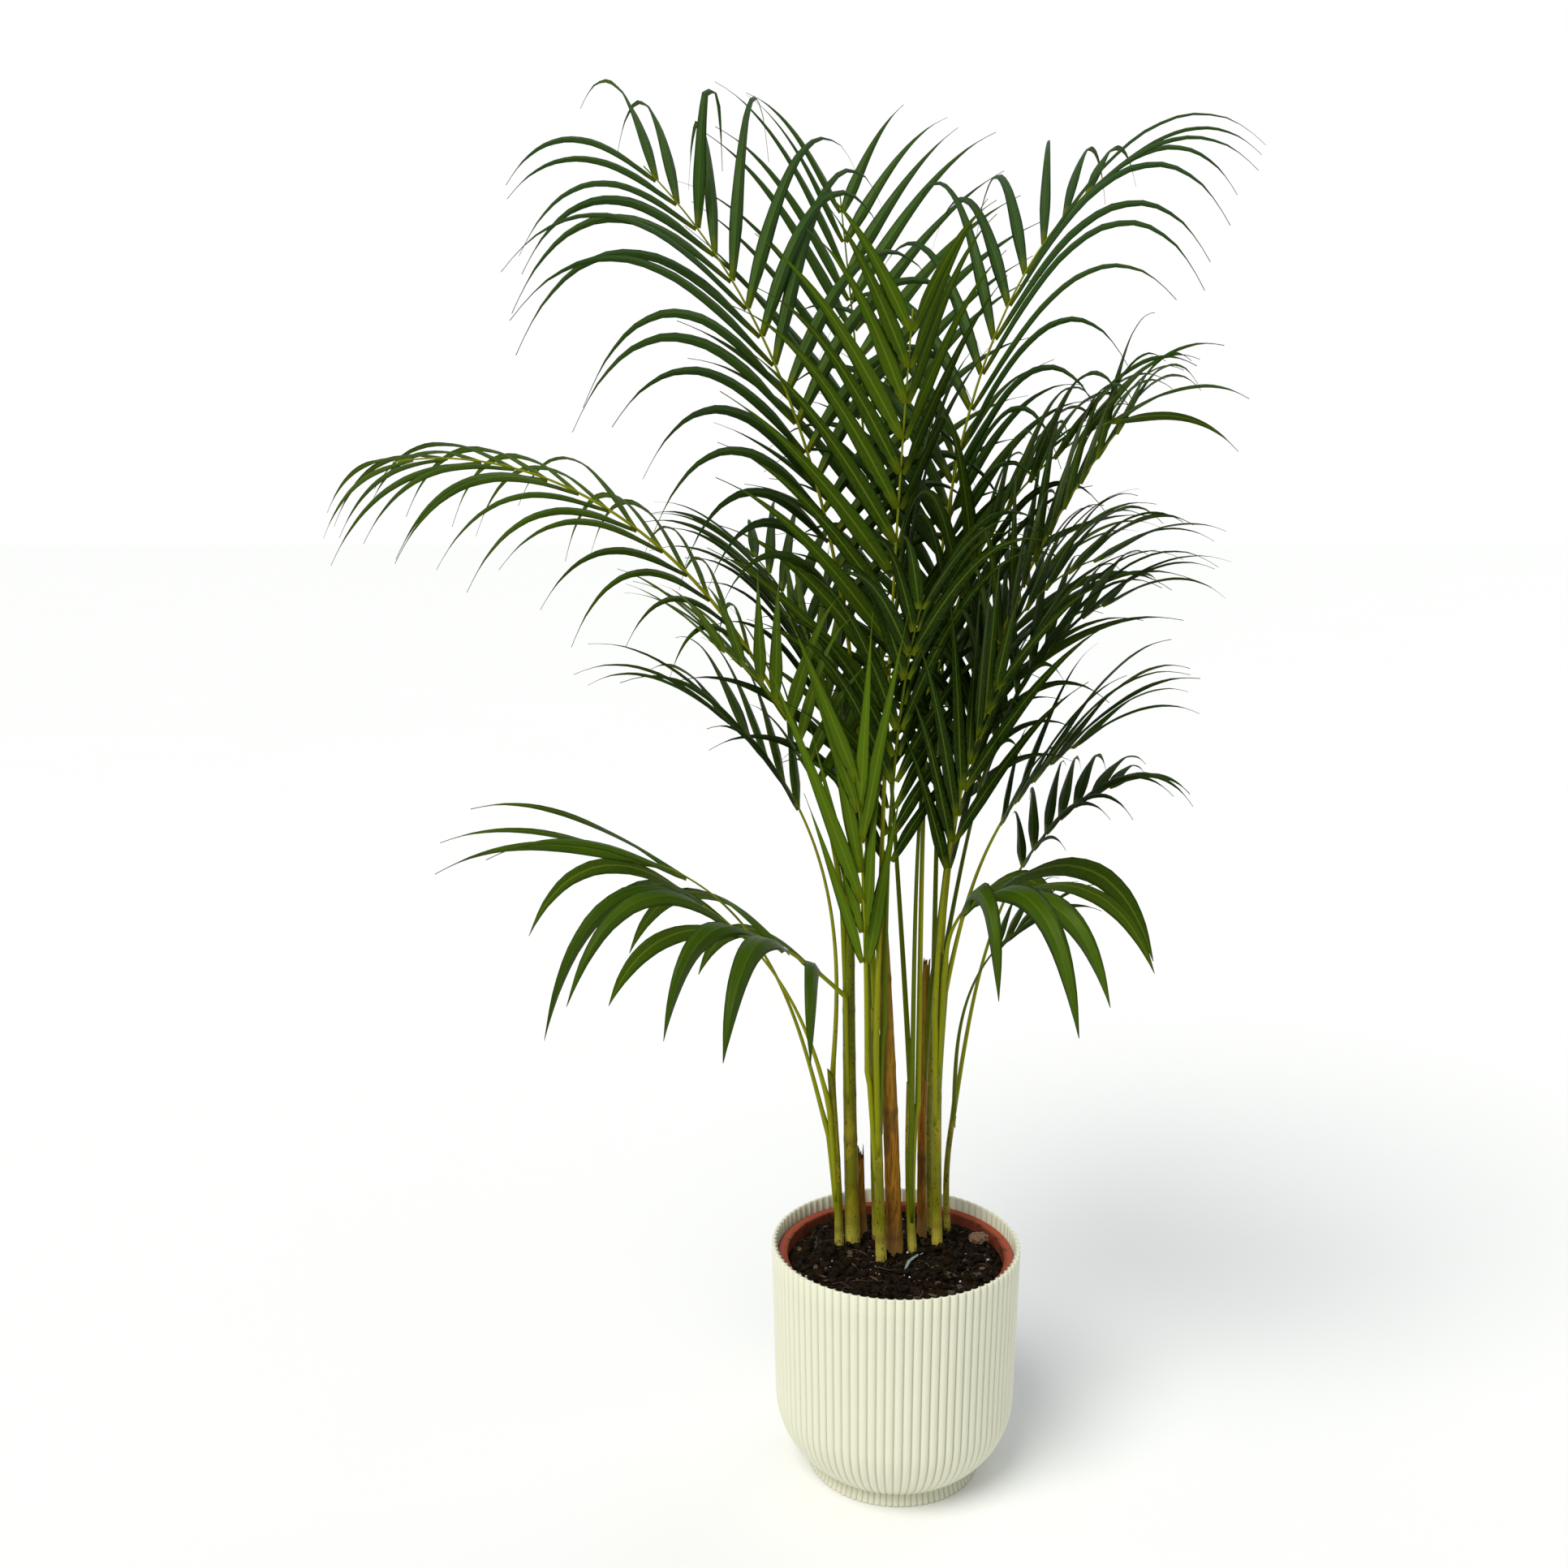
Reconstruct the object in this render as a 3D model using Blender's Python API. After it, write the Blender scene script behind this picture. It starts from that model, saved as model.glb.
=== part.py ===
"""Areca palm in its nursery pot, standing inside a fluted cover pot. Metres, +Z up.

The origin is the middle of the cover pot's foot, on the surface that the pot stands on.
Every frond is one closed solid: a petiole that runs on as the rachis, with its leaflets grown out
of the rachis's two sides. Fronds and leaflets turn a little until they clear what is already there.
"""

import math
import random
from collections import namedtuple

import bmesh
import bpy
import numpy as np
from mathutils.bvhtree import BVHTree

GAP = 0.0003                 # between two pieces that touch

# Cover pot: ivory plastic, straight sides, a rounded bottom and a small flared foot
COVER_HEIGHT = 0.210
COVER_RIM_RADIUS = 0.1105
COVER_SIDE_TAPER = 0.0035    # how much narrower the side is where the bottom rounding starts
COVER_ROUND_HEIGHT = 0.070
COVER_WAIST_RADIUS = 0.0745
COVER_WAIST_HEIGHT = 0.010
COVER_FOOT_FLARE = 0.003     # how far the foot stands out past the waist
COVER_FOOT_HEIGHT = 0.003
COVER_WALL = 0.0035
ROUNDING_START = 40          # degrees round the ellipse, so that the side leaves the waist in a V
ROUNDING_STEPS = 6
POT_SEGMENTS = 40

# Nursery pot: terracotta-coloured plastic with a rolled rim, standing on the cover pot's floor
NURSERY_RIM_DROP = 0.010     # below the cover pot's rim
NURSERY_RIM_CLEARANCE = 0.0022
NURSERY_RIM_WIDTH = 0.0065
NURSERY_RIM_HEIGHT = 0.012
NURSERY_RIM_BEVEL = 0.0015
NURSERY_RIM_CHAMFER = 0.0008  # where the rim's skirt starts
NURSERY_LIP_DROP = 0.0012    # from the rim's top down to the inner wall
NURSERY_WALL = 0.0022
NURSERY_FLOOR_CLEARANCE = 0.0065

# Soil
SOIL_DROP = 0.0065           # below the nursery pot's rim
SOIL_SEGMENTS = 32
SOIL_SIDE_GAP = 0.0006       # to the nursery pot's wall
SOIL_EDGE_WIDTH = 0.006      # the soil falls off towards the pot's wall
SOIL_EDGE_DROP = 0.003
SOCKET_DEPTH = 0.012         # how deep each cane goes into the soil
SOCKET_CLEARANCE = 0.0004
CUTTER_RISE = 0.010          # how far each socket's cutter stands out of the soil

# Loose bits on the soil. Places on the soil are shares of the radius of its flat top.
BARK_PLACE = (0.87, 0.27)
BARK_SIZE = (0.009, 0.006, 0.005)
STRIP_ENDS = ((0.28, -0.02), (0.045, -0.47))
STRIP_WIDTH = 0.003
STRIP_THICKNESS = 0.0008
STRIP_BOW = 0.003
STRIP_LIFT = 0.0012          # how far the strip's middle curls up off the soil
STRIP_STEPS = 6

# Palm
CANE_SIDES = 8
CANE_RING_STEP = 0.06
CANE_FOOT_SWELL = 0.12
CANE_TAPER = 0.22
CANE_BOW = 0.35
PETIOLE_RADIUS = 0.0027
PETIOLE_RING_STEP = 0.07
RACHIS_TIP_RADIUS = 0.0006
LEAFLET_BASE = 0.007         # how much of the rachis one leaflet grows from
LEAFLET_THICKNESS = 0.0009
LEAFLET_CLEARANCE = 0.0005
LEAFLET_REACH = 0.45         # where along a leaflet its widest ring stands
LINE_STEPS = 160
LEAFLET_STEPS = 12
OWN_BASE_SHARE = 0.06        # how much of a leaflet may touch its own frond
FAN_SPREAD = 5.0             # how unlike each other the leaflets of a frond are: degrees
LIFT_SPREAD = 5.0
LENGTH_SPREAD = 0.10
DROOP_SPREAD = 0.25

Cane = namedtuple("Cane", "name foot lean height radius colour")
CANES = [
    # foot and radius: shares of the soil's flat top; lean: how far the top stands off the foot
    Cane("cane_left_stub", (-0.55, 0.235), (-0.009, -0.003), 0.170, 0.045, "green"),
    Cane("cane_left_tall", (-0.415, 0.27), (-0.006, 0.004), 0.360, 0.072, "green"),
    Cane("cane_left_dry", (-0.29, 0.415), (-0.004, 0.003), 0.090, 0.044, "brown"),
    Cane("cane_left_thin", (-0.18, 0.38), (-0.004, 0.003), 0.180, 0.027, "green"),
    Cane("cane_front", (-0.145, -0.11), (-0.008, 0.002), 0.235, 0.052, "green"),
    Cane("cane_middle_dry", (0.0, 0.09), (-0.017, -0.003), 0.330, 0.080, "brown"),
    Cane("cane_middle", (0.18, 0.07), (-0.004, 0.006), 0.160, 0.045, "green"),
    Cane("cane_right_dry", (0.30, 0.40), (0.001, 0.005), 0.265, 0.046, "brown"),
    Cane("cane_back_thin", (0.40, 0.525), (0.000, 0.008), 0.230, 0.034, "green"),
    Cane("cane_right_tall", (0.435, 0.18), (-0.001, 0.005), 0.280, 0.052, "green"),
    Cane("cane_far_right", (0.58, 0.56), (0.005, 0.010), 0.115, 0.034, "green"),
]

# One frond. cane and rise: the cane it leaves and how far up it; side: which side of the cane;
# heading and turn: where it leans and how much that swings by the tip; tilt: off vertical at the
# base and tip, with bend the power between them; bare: the share with no leaflets; leaf, wide: the
# longest leaflet; fan: its angle to the rachis; lift: how far the two rows rise into a V; droop:
# how hard the leaflets hang; roll: how far the whole blade is rolled round its rachis. Degrees.
Frond = namedtuple(
    "Frond", "name cane rise side heading turn tilt bend length bare pairs leaf wide fan lift droop roll"
)
FRONDS = [
    Frond("frond_top_left", "cane_front", 1.00, 90, 165, 10, (3, 46), 2.4, 0.74,
          0.46, 16, 0.265, 0.0125, 42, 20, 1.90, -42),
    Frond("frond_top_middle", "cane_middle", 1.00, 90, 105, 10, (12, 14), 1.5, 0.80,
          0.56, 13, 0.235, 0.0135, 40, 20, 0.60, 0),
    Frond("frond_top_right", "cane_middle", 0.88, 0, 35, -10, (0, 54), 3.4, 0.84,
          0.52, 13, 0.260, 0.0115, 38, 25, 1.60, 10),
    Frond("frond_front_tall", "cane_front", 0.86, 270, 290, 0, (2, 10), 1.5, 0.61,
          0.38, 14, 0.210, 0.015, 34, 25, 0.60, 0),
    Frond("frond_long_left", "cane_left_tall", 1.00, 180, 190, -10, (22, 100), 1.9, 0.55,
          0.34, 13, 0.185, 0.010, 32, 5, 2.00, -20),
    Frond("frond_left_low_front", "cane_left_tall", 0.93, 220, 220, -10, (12, 60), 1.6, 0.26,
          0.35, 8, 0.160, 0.012, 36, 30, 0.60, 0),
    Frond("frond_left_back", "cane_left_stub", 0.94, 60, 160, 0, (-4, 60), 1.8, 0.36,
          0.66, 5, 0.190, 0.013, 27, 20, 0.90, 0),
    Frond("frond_low_left_upper", "cane_left_stub", 0.70, 180, 184, 0, (14, 78), 2.2, 0.31,
          0.82, 2, 0.230, 0.015, 16, 0, 0.70, 0),
    Frond("frond_low_left_middle", "cane_left_stub", 0.86, 210, 190, 0, (14, 56), 1.4, 0.215,
          0.76, 2, 0.250, 0.017, 24, 0, 3.00, 0),
    Frond("frond_low_left_lower", "cane_left_tall", 0.66, 250, 205, 0, (46, 70), 1.6, 0.13,
          0.20, 3, 0.200, 0.020, 38, 10, 3.20, 0),
    Frond("frond_low_right_fan", "cane_right_tall", 0.95, 300, 335, 0, (0, 84), 1.3, 0.095,
          0.45, 3, 0.215, 0.021, 32, 5, 3.20, 0),
    Frond("frond_low_right_small", "cane_far_right", 1.00, 0, 10, 0, (0, 62), 2.1, 0.19,
          0.80, 3, 0.110, 0.012, 28, 15, 0.80, 0),
    Frond("frond_low_right", "cane_far_right", 0.80, 60, 15, 0, (8, 78), 2.7, 0.38,
          0.66, 7, 0.125, 0.012, 36, 30, 1.50, 0),
    Frond("frond_right_middle", "cane_right_tall", 0.90, 20, 355, 0, (11, 60), 1.9, 0.25,
          0.55, 5, 0.190, 0.013, 28, 20, 0.80, 0),
    Frond("frond_right_upper", "cane_right_tall", 0.84, 60, 15, 0, (10, 74), 3.2, 0.40,
          0.45, 10, 0.190, 0.012, 36, 25, 1.10, 0),
    Frond("frond_right_front", "cane_right_dry", 0.95, 320, 325, 20, (6, 78), 3.6, 0.42,
          0.45, 10, 0.190, 0.013, 38, 25, 1.10, 0),
    Frond("frond_right_tall", "cane_right_tall", 1.00, 25, 25, 0, (4, 40), 1.6, 0.48,
          0.40, 12, 0.210, 0.013, 36, 25, 1.20, 0),
    Frond("frond_front_right_arch", "cane_middle", 0.78, 300, 330, 20, (0, 73), 3.6, 0.67,
          0.52, 12, 0.200, 0.014, 38, 20, 1.20, 0),
    Frond("frond_left_inner", "cane_left_tall", 0.84, 120, 150, 0, (-3, 40), 1.6, 0.28,
          0.35, 8, 0.170, 0.013, 34, 25, 0.80, 0),
    Frond("frond_front_dark", "cane_front", 0.94, 330, 280, 0, (0, 46), 1.8, 0.40,
          0.34, 11, 0.190, 0.015, 25, 25, 1.00, 0),
    Frond("frond_back_tall", "cane_back_thin", 1.00, 75, 75, 0, (0, 22), 1.6, 0.50,
          0.40, 12, 0.200, 0.013, 40, 25, 0.80, 0),
    Frond("frond_front_young", "cane_front", 0.76, 200, 250, 0, (4, 15), 1.6, 0.28,
          0.32, 7, 0.220, 0.015, 13, 15, 0.15, 0),
    Frond("frond_right_inner", "cane_right_tall", 0.78, 280, 310, 0, (2, 30), 1.6, 0.32,
          0.40, 8, 0.200, 0.015, 20, 25, 0.60, 0),
    Frond("frond_back_left", "cane_left_thin", 1.00, 120, 130, 0, (3, 60), 2.0, 0.50,
          0.42, 12, 0.190, 0.013, 40, 25, 1.00, 0),
    Frond("frond_back_right", "cane_back_thin", 0.85, 30, 50, 0, (3, 62), 2.0, 0.47,
          0.42, 12, 0.190, 0.013, 40, 25, 1.00, 0),
]

# Worked out from the sizes above
NURSERY_RIM_RADIUS = COVER_RIM_RADIUS - COVER_WALL - NURSERY_RIM_CLEARANCE
NURSERY_RIM_TOP = COVER_HEIGHT - NURSERY_RIM_DROP
NURSERY_BODY_RADIUS = NURSERY_RIM_RADIUS - NURSERY_RIM_WIDTH
NURSERY_FLOOR_RADIUS = COVER_WAIST_RADIUS - COVER_WALL - NURSERY_FLOOR_CLEARANCE
NURSERY_FLOOR = COVER_WAIST_HEIGHT + GAP
SOIL_TOP = NURSERY_RIM_TOP - SOIL_DROP
SOIL_RADIUS = NURSERY_BODY_RADIUS - NURSERY_WALL - SOIL_SIDE_GAP
SOIL_FLAT_RADIUS = SOIL_RADIUS - SOIL_EDGE_WIDTH
CANE_BY_NAME = {cane.name: cane for cane in CANES}


def clear_scene():
    for old in list(bpy.data.objects):
        bpy.data.objects.remove(old)


def material(name, colour, roughness):
    made = bpy.data.materials.new(name)
    made.use_nodes = True
    shader = made.node_tree.nodes["Principled BSDF"]
    shader.inputs["Base Color"].default_value = (*colour, 1.0)
    shader.inputs["Roughness"].default_value = roughness
    shader.inputs["Metallic"].default_value = 0.0
    return made


def add_object(name, bm, surface):
    """Makes one named object of a bmesh, with its faces pointing out."""
    bmesh.ops.recalc_face_normals(bm, faces=bm.faces)
    mesh = bpy.data.meshes.new(name)
    bm.to_mesh(mesh)
    bm.free()
    mesh.shade_smooth()
    mesh.set_sharp_from_angle(angle=math.radians(40))
    mesh.materials.append(surface)
    made = bpy.data.objects.new(name, mesh)
    bpy.context.scene.collection.objects.link(made)
    return made


def turned(profile, segments):
    """A bmesh turned round Z from a closed outline of (radius, height), where radius 0 is a pole."""
    bm = bmesh.new()
    angles = [math.tau * k / segments for k in range(segments)]
    rings = []
    for radius, height in profile:
        if radius == 0:
            rings.append([bm.verts.new((0, 0, height))])
        else:
            rings.append([bm.verts.new((radius * math.cos(a), radius * math.sin(a), height)) for a in angles])
    for low, high in zip(rings, rings[1:]):
        for k in range(segments):
            after = (k + 1) % segments
            corners = [low[k % len(low)], low[after % len(low)], high[after % len(high)], high[k % len(high)]]
            bm.faces.new(list(dict.fromkeys(corners)))
    return bm


def on_soil(place):
    """A place on the soil in metres, from its shares of the flat top's radius."""
    return np.array([place[0] * SOIL_FLAT_RADIUS, place[1] * SOIL_FLAT_RADIUS, SOIL_TOP])


# Pots and soil


def cover_outside():
    """The cover pot's outside from foot to rim: foot, waist, an elliptic rounding, a tapered side."""
    foot_radius = COVER_WAIST_RADIUS + COVER_FOOT_FLARE
    side_radius = COVER_RIM_RADIUS - COVER_SIDE_TAPER
    points = [(foot_radius, 0), (foot_radius, COVER_FOOT_HEIGHT)]
    start = math.radians(ROUNDING_START)
    for k in range(ROUNDING_STEPS + 1):
        angle = start + (math.pi / 2 - start) * k / ROUNDING_STEPS
        out = (math.sin(angle) - math.sin(start)) / (1 - math.sin(start))
        up = 1 - math.cos(angle) / math.cos(start)
        radius = COVER_WAIST_RADIUS + (side_radius - COVER_WAIST_RADIUS) * out
        height = COVER_WAIST_HEIGHT + (COVER_ROUND_HEIGHT - COVER_WAIST_HEIGHT) * up
        points.append((radius, height))
    points.append((COVER_RIM_RADIUS, COVER_HEIGHT))
    return points


def cover_pot(surface):
    outside = cover_outside()
    inside = [(radius - COVER_WALL, height) for radius, height in reversed(outside[2:])]
    profile = [(0, 0)] + outside + inside + [(0, COVER_WAIST_HEIGHT)]
    return add_object("outer_pot", turned(profile, POT_SEGMENTS), surface)


def nursery_pot(surface):
    inner_floor = NURSERY_FLOOR + NURSERY_WALL
    inner_radius = NURSERY_BODY_RADIUS - NURSERY_WALL
    skirt = NURSERY_RIM_TOP - NURSERY_RIM_HEIGHT
    profile = [
        (0, NURSERY_FLOOR),
        (NURSERY_FLOOR_RADIUS, NURSERY_FLOOR),
        (NURSERY_BODY_RADIUS, skirt),
        (NURSERY_RIM_RADIUS - NURSERY_RIM_CHAMFER, skirt + NURSERY_RIM_CHAMFER),
        (NURSERY_RIM_RADIUS, NURSERY_RIM_TOP - NURSERY_RIM_BEVEL),
        (NURSERY_RIM_RADIUS - NURSERY_RIM_BEVEL, NURSERY_RIM_TOP),
        (NURSERY_BODY_RADIUS, NURSERY_RIM_TOP),
        (inner_radius, NURSERY_RIM_TOP - NURSERY_LIP_DROP),
        (inner_radius, skirt),
        (NURSERY_FLOOR_RADIUS - NURSERY_WALL, inner_floor),
        (0, inner_floor),
    ]
    return add_object("nursery_pot", turned(profile, POT_SEGMENTS), surface)


def soil(surface):
    """The root ball and potting mix, with a socket for each cane."""
    bottom = NURSERY_FLOOR + NURSERY_WALL + GAP
    profile = [
        (0, bottom),
        (NURSERY_FLOOR_RADIUS - NURSERY_WALL - SOIL_SIDE_GAP, bottom),
        (SOIL_RADIUS - GAP, NURSERY_RIM_TOP - NURSERY_RIM_HEIGHT - GAP),
        (SOIL_RADIUS, SOIL_TOP - SOIL_EDGE_DROP),
        (SOIL_FLAT_RADIUS, SOIL_TOP),
        (0, SOIL_TOP),
    ]
    ball = add_object("soil", turned(profile, SOIL_SEGMENTS), surface)
    cutters = bpy.data.collections.new("sockets")
    bpy.context.scene.collection.children.link(cutters)
    for cane in CANES:
        cutter = add_object("socket_" + cane.name, socket_mesh(cane), surface)
        bpy.context.scene.collection.objects.unlink(cutter)
        cutters.objects.link(cutter)
        cutter.hide_render = True
        cutter.display_type = "WIRE"
    cut = ball.modifiers.new("sockets", "BOOLEAN")
    cut.operation = "DIFFERENCE"
    cut.solver = "EXACT"
    cut.operand_type = "COLLECTION"
    cut.collection = cutters
    return ball


# Loose bits


def bark_chunk(surface):
    """A rough-broken lump of bark lying on the soil."""
    bm = bmesh.new()
    bmesh.ops.create_icosphere(bm, subdivisions=2, radius=1.0)
    for vert in bm.verts:
        x, y, z = vert.co
        rough = 1.0 + 0.10 * math.sin(5 * x + 1) + 0.09 * math.sin(6 * y + 2) + 0.07 * math.sin(7 * z)
        vert.co = [rough * size * part for size, part in zip(BARK_SIZE, (x, y, z))]
    lowest = min(vert.co.z for vert in bm.verts)
    bmesh.ops.translate(bm, verts=bm.verts, vec=on_soil(BARK_PLACE) + (0, 0, GAP - lowest))
    return add_object("bark_chunk", bm, surface)


def fallen_leaflet(surface):
    """A dry strip of an old leaflet lying on the soil in a shallow curve, thinner at its two ends."""
    bm = bmesh.new()
    start, end = on_soil(STRIP_ENDS[0]), on_soil(STRIP_ENDS[1])
    side = np.array([end[1] - start[1], start[0] - end[0], 0])
    side /= np.linalg.norm(side)
    rings = []
    for k in range(STRIP_STEPS + 1):
        share = k / STRIP_STEPS
        bow = math.sin(math.pi * share)
        middle = start + (end - start) * share + side * STRIP_BOW * bow
        half = 0.5 * STRIP_WIDTH * (0.55 + 0.45 * bow)
        lift = GAP + STRIP_LIFT * bow
        corners = ((-half, 0), (half, 0), (half, STRIP_THICKNESS), (-half, STRIP_THICKNESS))
        rings.append([bm.verts.new(middle + a * side + np.array([0, 0, lift + b])) for a, b in corners])
    tube(bm, rings)
    return add_object("fallen_leaflet", bm, surface)


# Canes


def cane_centre(cane, share):
    """The middle of a cane at a share of its height: a straight lean with a slight bow."""
    lean = np.array([*cane.lean, cane.height])
    bow = np.array([-cane.lean[1], cane.lean[0], 0.0]) * CANE_BOW * math.sin(math.pi * share)
    return on_soil(cane.foot) + lean * share + bow


def cane_radius(cane, share):
    """A cane swells in the lowest part of its height and narrows towards its top."""
    swell = CANE_FOOT_SWELL * max(0.0, 1 - share / CANE_FOOT_SWELL)
    return cane.radius * SOIL_FLAT_RADIUS * (1.0 + swell - CANE_TAPER * share)


def ring(bm, centre, radius):
    angles = [math.tau * (k + 0.5) / CANE_SIDES for k in range(CANE_SIDES)]
    return [bm.verts.new(centre + radius * np.array([math.cos(a), math.sin(a), 0])) for a in angles]


def tube(bm, rings):
    for low, high in zip(rings, rings[1:]):
        for k in range(len(low)):
            after = (k + 1) % len(low)
            bm.faces.new((low[k], low[after], high[after], high[k]))
    bm.faces.new(rings[0])
    bm.faces.new(rings[-1])


def socket_mesh(cane):
    bm = bmesh.new()
    radius = (cane_radius(cane, 0.0) + SOCKET_CLEARANCE) / math.cos(math.pi / CANE_SIDES)
    foot = on_soil(cane.foot)
    tube(bm, [ring(bm, foot + (0, 0, height), radius) for height in (-SOCKET_DEPTH, CUTTER_RISE)])
    return bm


def cane_mesh(cane):
    bm = bmesh.new()
    rings = [ring(bm, on_soil(cane.foot) - (0, 0, SOCKET_DEPTH - GAP), cane_radius(cane, 0.0))]
    steps = max(3, round(cane.height / CANE_RING_STEP))
    for k in range(steps + 1):
        share = k / steps
        rings.append(ring(bm, cane_centre(cane, share), cane_radius(cane, share)))
    tube(bm, rings)
    return bm


# Fronds


class Line:
    """A frond's centre-line, with its frame: along, out to the left, and up off the blade."""

    def __init__(self, frond, side_turn, swing):
        shares = (np.arange(LINE_STEPS) + 0.5) / LINE_STEPS
        low, high = frond.tilt
        tilt = np.radians(low + (high - low) * shares ** frond.bend)
        heading = np.radians(frond.heading + swing + frond.turn * shares)
        along = np.stack([np.sin(tilt) * np.cos(heading), np.sin(tilt) * np.sin(heading), np.cos(tilt)], 1)
        left = np.stack([-np.sin(heading), np.cos(heading), 0 * heading], 1)
        up = np.cross(along, left)
        roll = math.radians(frond.roll)
        self.frond = frond
        self.along = along
        self.left = math.cos(roll) * left + math.sin(roll) * up
        self.up = math.cos(roll) * up - math.sin(roll) * left
        steps = along * frond.length / LINE_STEPS
        self.points = np.vstack([np.zeros(3), np.cumsum(steps, 0)]) + self.start(frond.side + side_turn)

    def start(self, side):
        """On top of the cane, or beside it with a gap, at the frond's rise and side."""
        cane = CANE_BY_NAME[self.frond.cane]
        middle = cane_centre(cane, self.frond.rise)
        corner = PETIOLE_RADIUS * math.sqrt(2)
        if self.frond.rise >= 1.0:
            tipped = corner * math.sin(math.radians(abs(self.frond.tilt[0])))
            return middle + (0, 0, GAP + tipped)
        off = cane_radius(cane, self.frond.rise) + corner + LEAFLET_CLEARANCE
        turn = math.radians(side)
        return middle + (off * math.cos(turn), off * math.sin(turn), 0)

    def at(self, share):
        """Position, along, left and up at a share of the length."""
        step = min(max(share, 0.0), 1.0) * LINE_STEPS
        low = min(int(step), LINE_STEPS - 1)
        point = self.points[low] + (self.points[low + 1] - self.points[low]) * (step - low)
        return point, self.along[low], self.left[low], self.up[low]

    def radius(self, share):
        return PETIOLE_RADIUS + (RACHIS_TIP_RADIUS - PETIOLE_RADIUS) * share ** 0.8

    def corners(self, share, extra=0.0):
        """The four corners of the petiole or rachis: left top, right top, right bottom, left bottom."""
        point, _, left, up = self.at(share)
        reach = self.radius(share) + extra
        return [point + reach * (a * left + b * up) for a, b in ((1, 1), (-1, 1), (-1, -1), (1, -1))]

    def shares(self):
        """Where the rings stand: along the bare petiole, then two at each pair of leaflets."""
        frond = self.frond
        steps = max(3, round(frond.length * frond.bare / PETIOLE_RING_STEP))
        bare = [frond.bare * k / steps for k in range(steps)]
        half = 0.5 * LEAFLET_BASE / frond.length
        middles = [frond.bare + (1 - frond.bare) * (k + 0.4) / frond.pairs for k in range(frond.pairs)]
        return bare, [(middle - half, middle + half) for middle in middles]


def leaflet_size(share):
    """How a leaflet's length runs over the blade, from the lowest pair (0) to the tip (1)."""
    return 0.25 + 0.75 * math.sin(math.pi * (0.15 + 0.77 * share)) ** 0.8


def unlike(line, share, hand):
    """Four numbers from -1 to 1 that set one leaflet apart from the next, the same at each run."""
    dice = random.Random(f"{line.frond.name} {share:.2f} {hand}")
    return [dice.uniform(-1, 1) for _ in range(4)]


def leaflet_line(line, share, hand, course):
    """Points and ways down one leaflet. hand is 1 on the left and -1 on the right."""
    frond = line.frond
    shorter, fanned, swing = course
    fan_luck, lift_luck, length_luck, droop_luck = unlike(line, share, hand)
    blade = (share - frond.bare) / (1 - frond.bare)
    point, along, left, up = line.at(share)
    fan = math.radians(frond.fan * (1.25 - 0.5 * blade) + fanned + FAN_SPREAD * fan_luck)
    lift = math.radians(frond.lift + swing + LIFT_SPREAD * lift_luck)
    out = math.cos(lift) * hand * left + math.sin(lift) * up
    away = math.cos(fan) * along + math.sin(fan) * out
    length = frond.leaf * leaflet_size(blade) * shorter * (1 + LENGTH_SPREAD * length_luck)
    steps = (np.arange(LEAFLET_STEPS) + 0.5) / LEAFLET_STEPS
    droop = frond.droop * (1 + DROOP_SPREAD * droop_luck)
    ways = away - np.outer(droop * steps ** 1.8, (0, 0, 1))
    ways /= np.linalg.norm(ways, axis=1)[:, None]
    foot = point + line.radius(share) * hand * left
    points = foot + np.vstack([np.zeros(3), np.cumsum(ways, 0) * length / LEAFLET_STEPS])
    return points, ways, along, up


def leaflet_corners(line, share, hand, course, extra=0.0):
    """The widest ring of a leaflet and its tip: back bottom, back top, front top, front bottom, tip."""
    points, ways, along, up = leaflet_line(line, share, hand, course)
    step = round(LEAFLET_REACH * LEAFLET_STEPS)
    way = ways[step - 1]
    across = along - way * along.dot(way)
    across /= np.linalg.norm(across)
    face = np.cross(way, across)
    face *= math.copysign(1.0, face.dot(up))
    half = 0.5 * line.frond.wide + extra
    thick = 0.5 * LEAFLET_THICKNESS + extra
    signs = ((-1, -1), (-1, 1), (1, 1), (1, -1))
    return [points[step] + a * half * across + b * thick * face for a, b in signs] + [points[-1]]


def base_of(back, front, hand):
    """The four corners on the rachis's left or right side that a leaflet grows from."""
    low, high = (3, 0) if hand > 0 else (2, 1)
    return [back[low], back[high], front[high], front[low]]


LEAFLET_FACES = [
    (0, 1, 5, 4), (1, 2, 6, 5), (2, 3, 7, 6), (3, 0, 4, 7),
    (4, 5, 8), (5, 6, 8), (6, 7, 8), (7, 4, 8),
]


def leaflet_solid(line, pair, hand, course, extra=0.0):
    """The base on the rachis's side, the widest ring and the tip."""
    base = base_of(line.corners(pair[0]), line.corners(pair[1]), hand)
    return base + leaflet_corners(line, sum(pair) / 2, hand, course, extra)


class Placed:
    """The solids that are already in place, for a new one to stay clear of."""

    def __init__(self):
        self.owners = []
        self.trees = []
        self.boxes = np.empty((0, 6))

    def add(self, owner, points, faces):
        points = np.array(points)
        self.owners.append(owner)
        self.trees.append(BVHTree.FromPolygons(points.tolist(), faces))
        self.boxes = np.vstack([self.boxes, [*points.min(0), *points.max(0)]])

    def hits(self, points, faces, mine=None, others=None):
        """How many solids the new one would cut: only the owner's own, or only those of others."""
        points = np.array(points)
        apart = (points.min(0) > self.boxes[:, 3:]) | (points.max(0) < self.boxes[:, :3])
        near = [k for k in np.flatnonzero(~apart.any(1)) if self.concerns(k, mine, others)]
        if not near:
            return 0
        tree = BVHTree.FromPolygons(points.tolist(), faces)
        return sum(bool(tree.overlap(self.trees[k])) for k in near)

    def concerns(self, number, mine, others):
        owner = self.owners[number]
        return owner == mine if mine else owner != others


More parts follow.
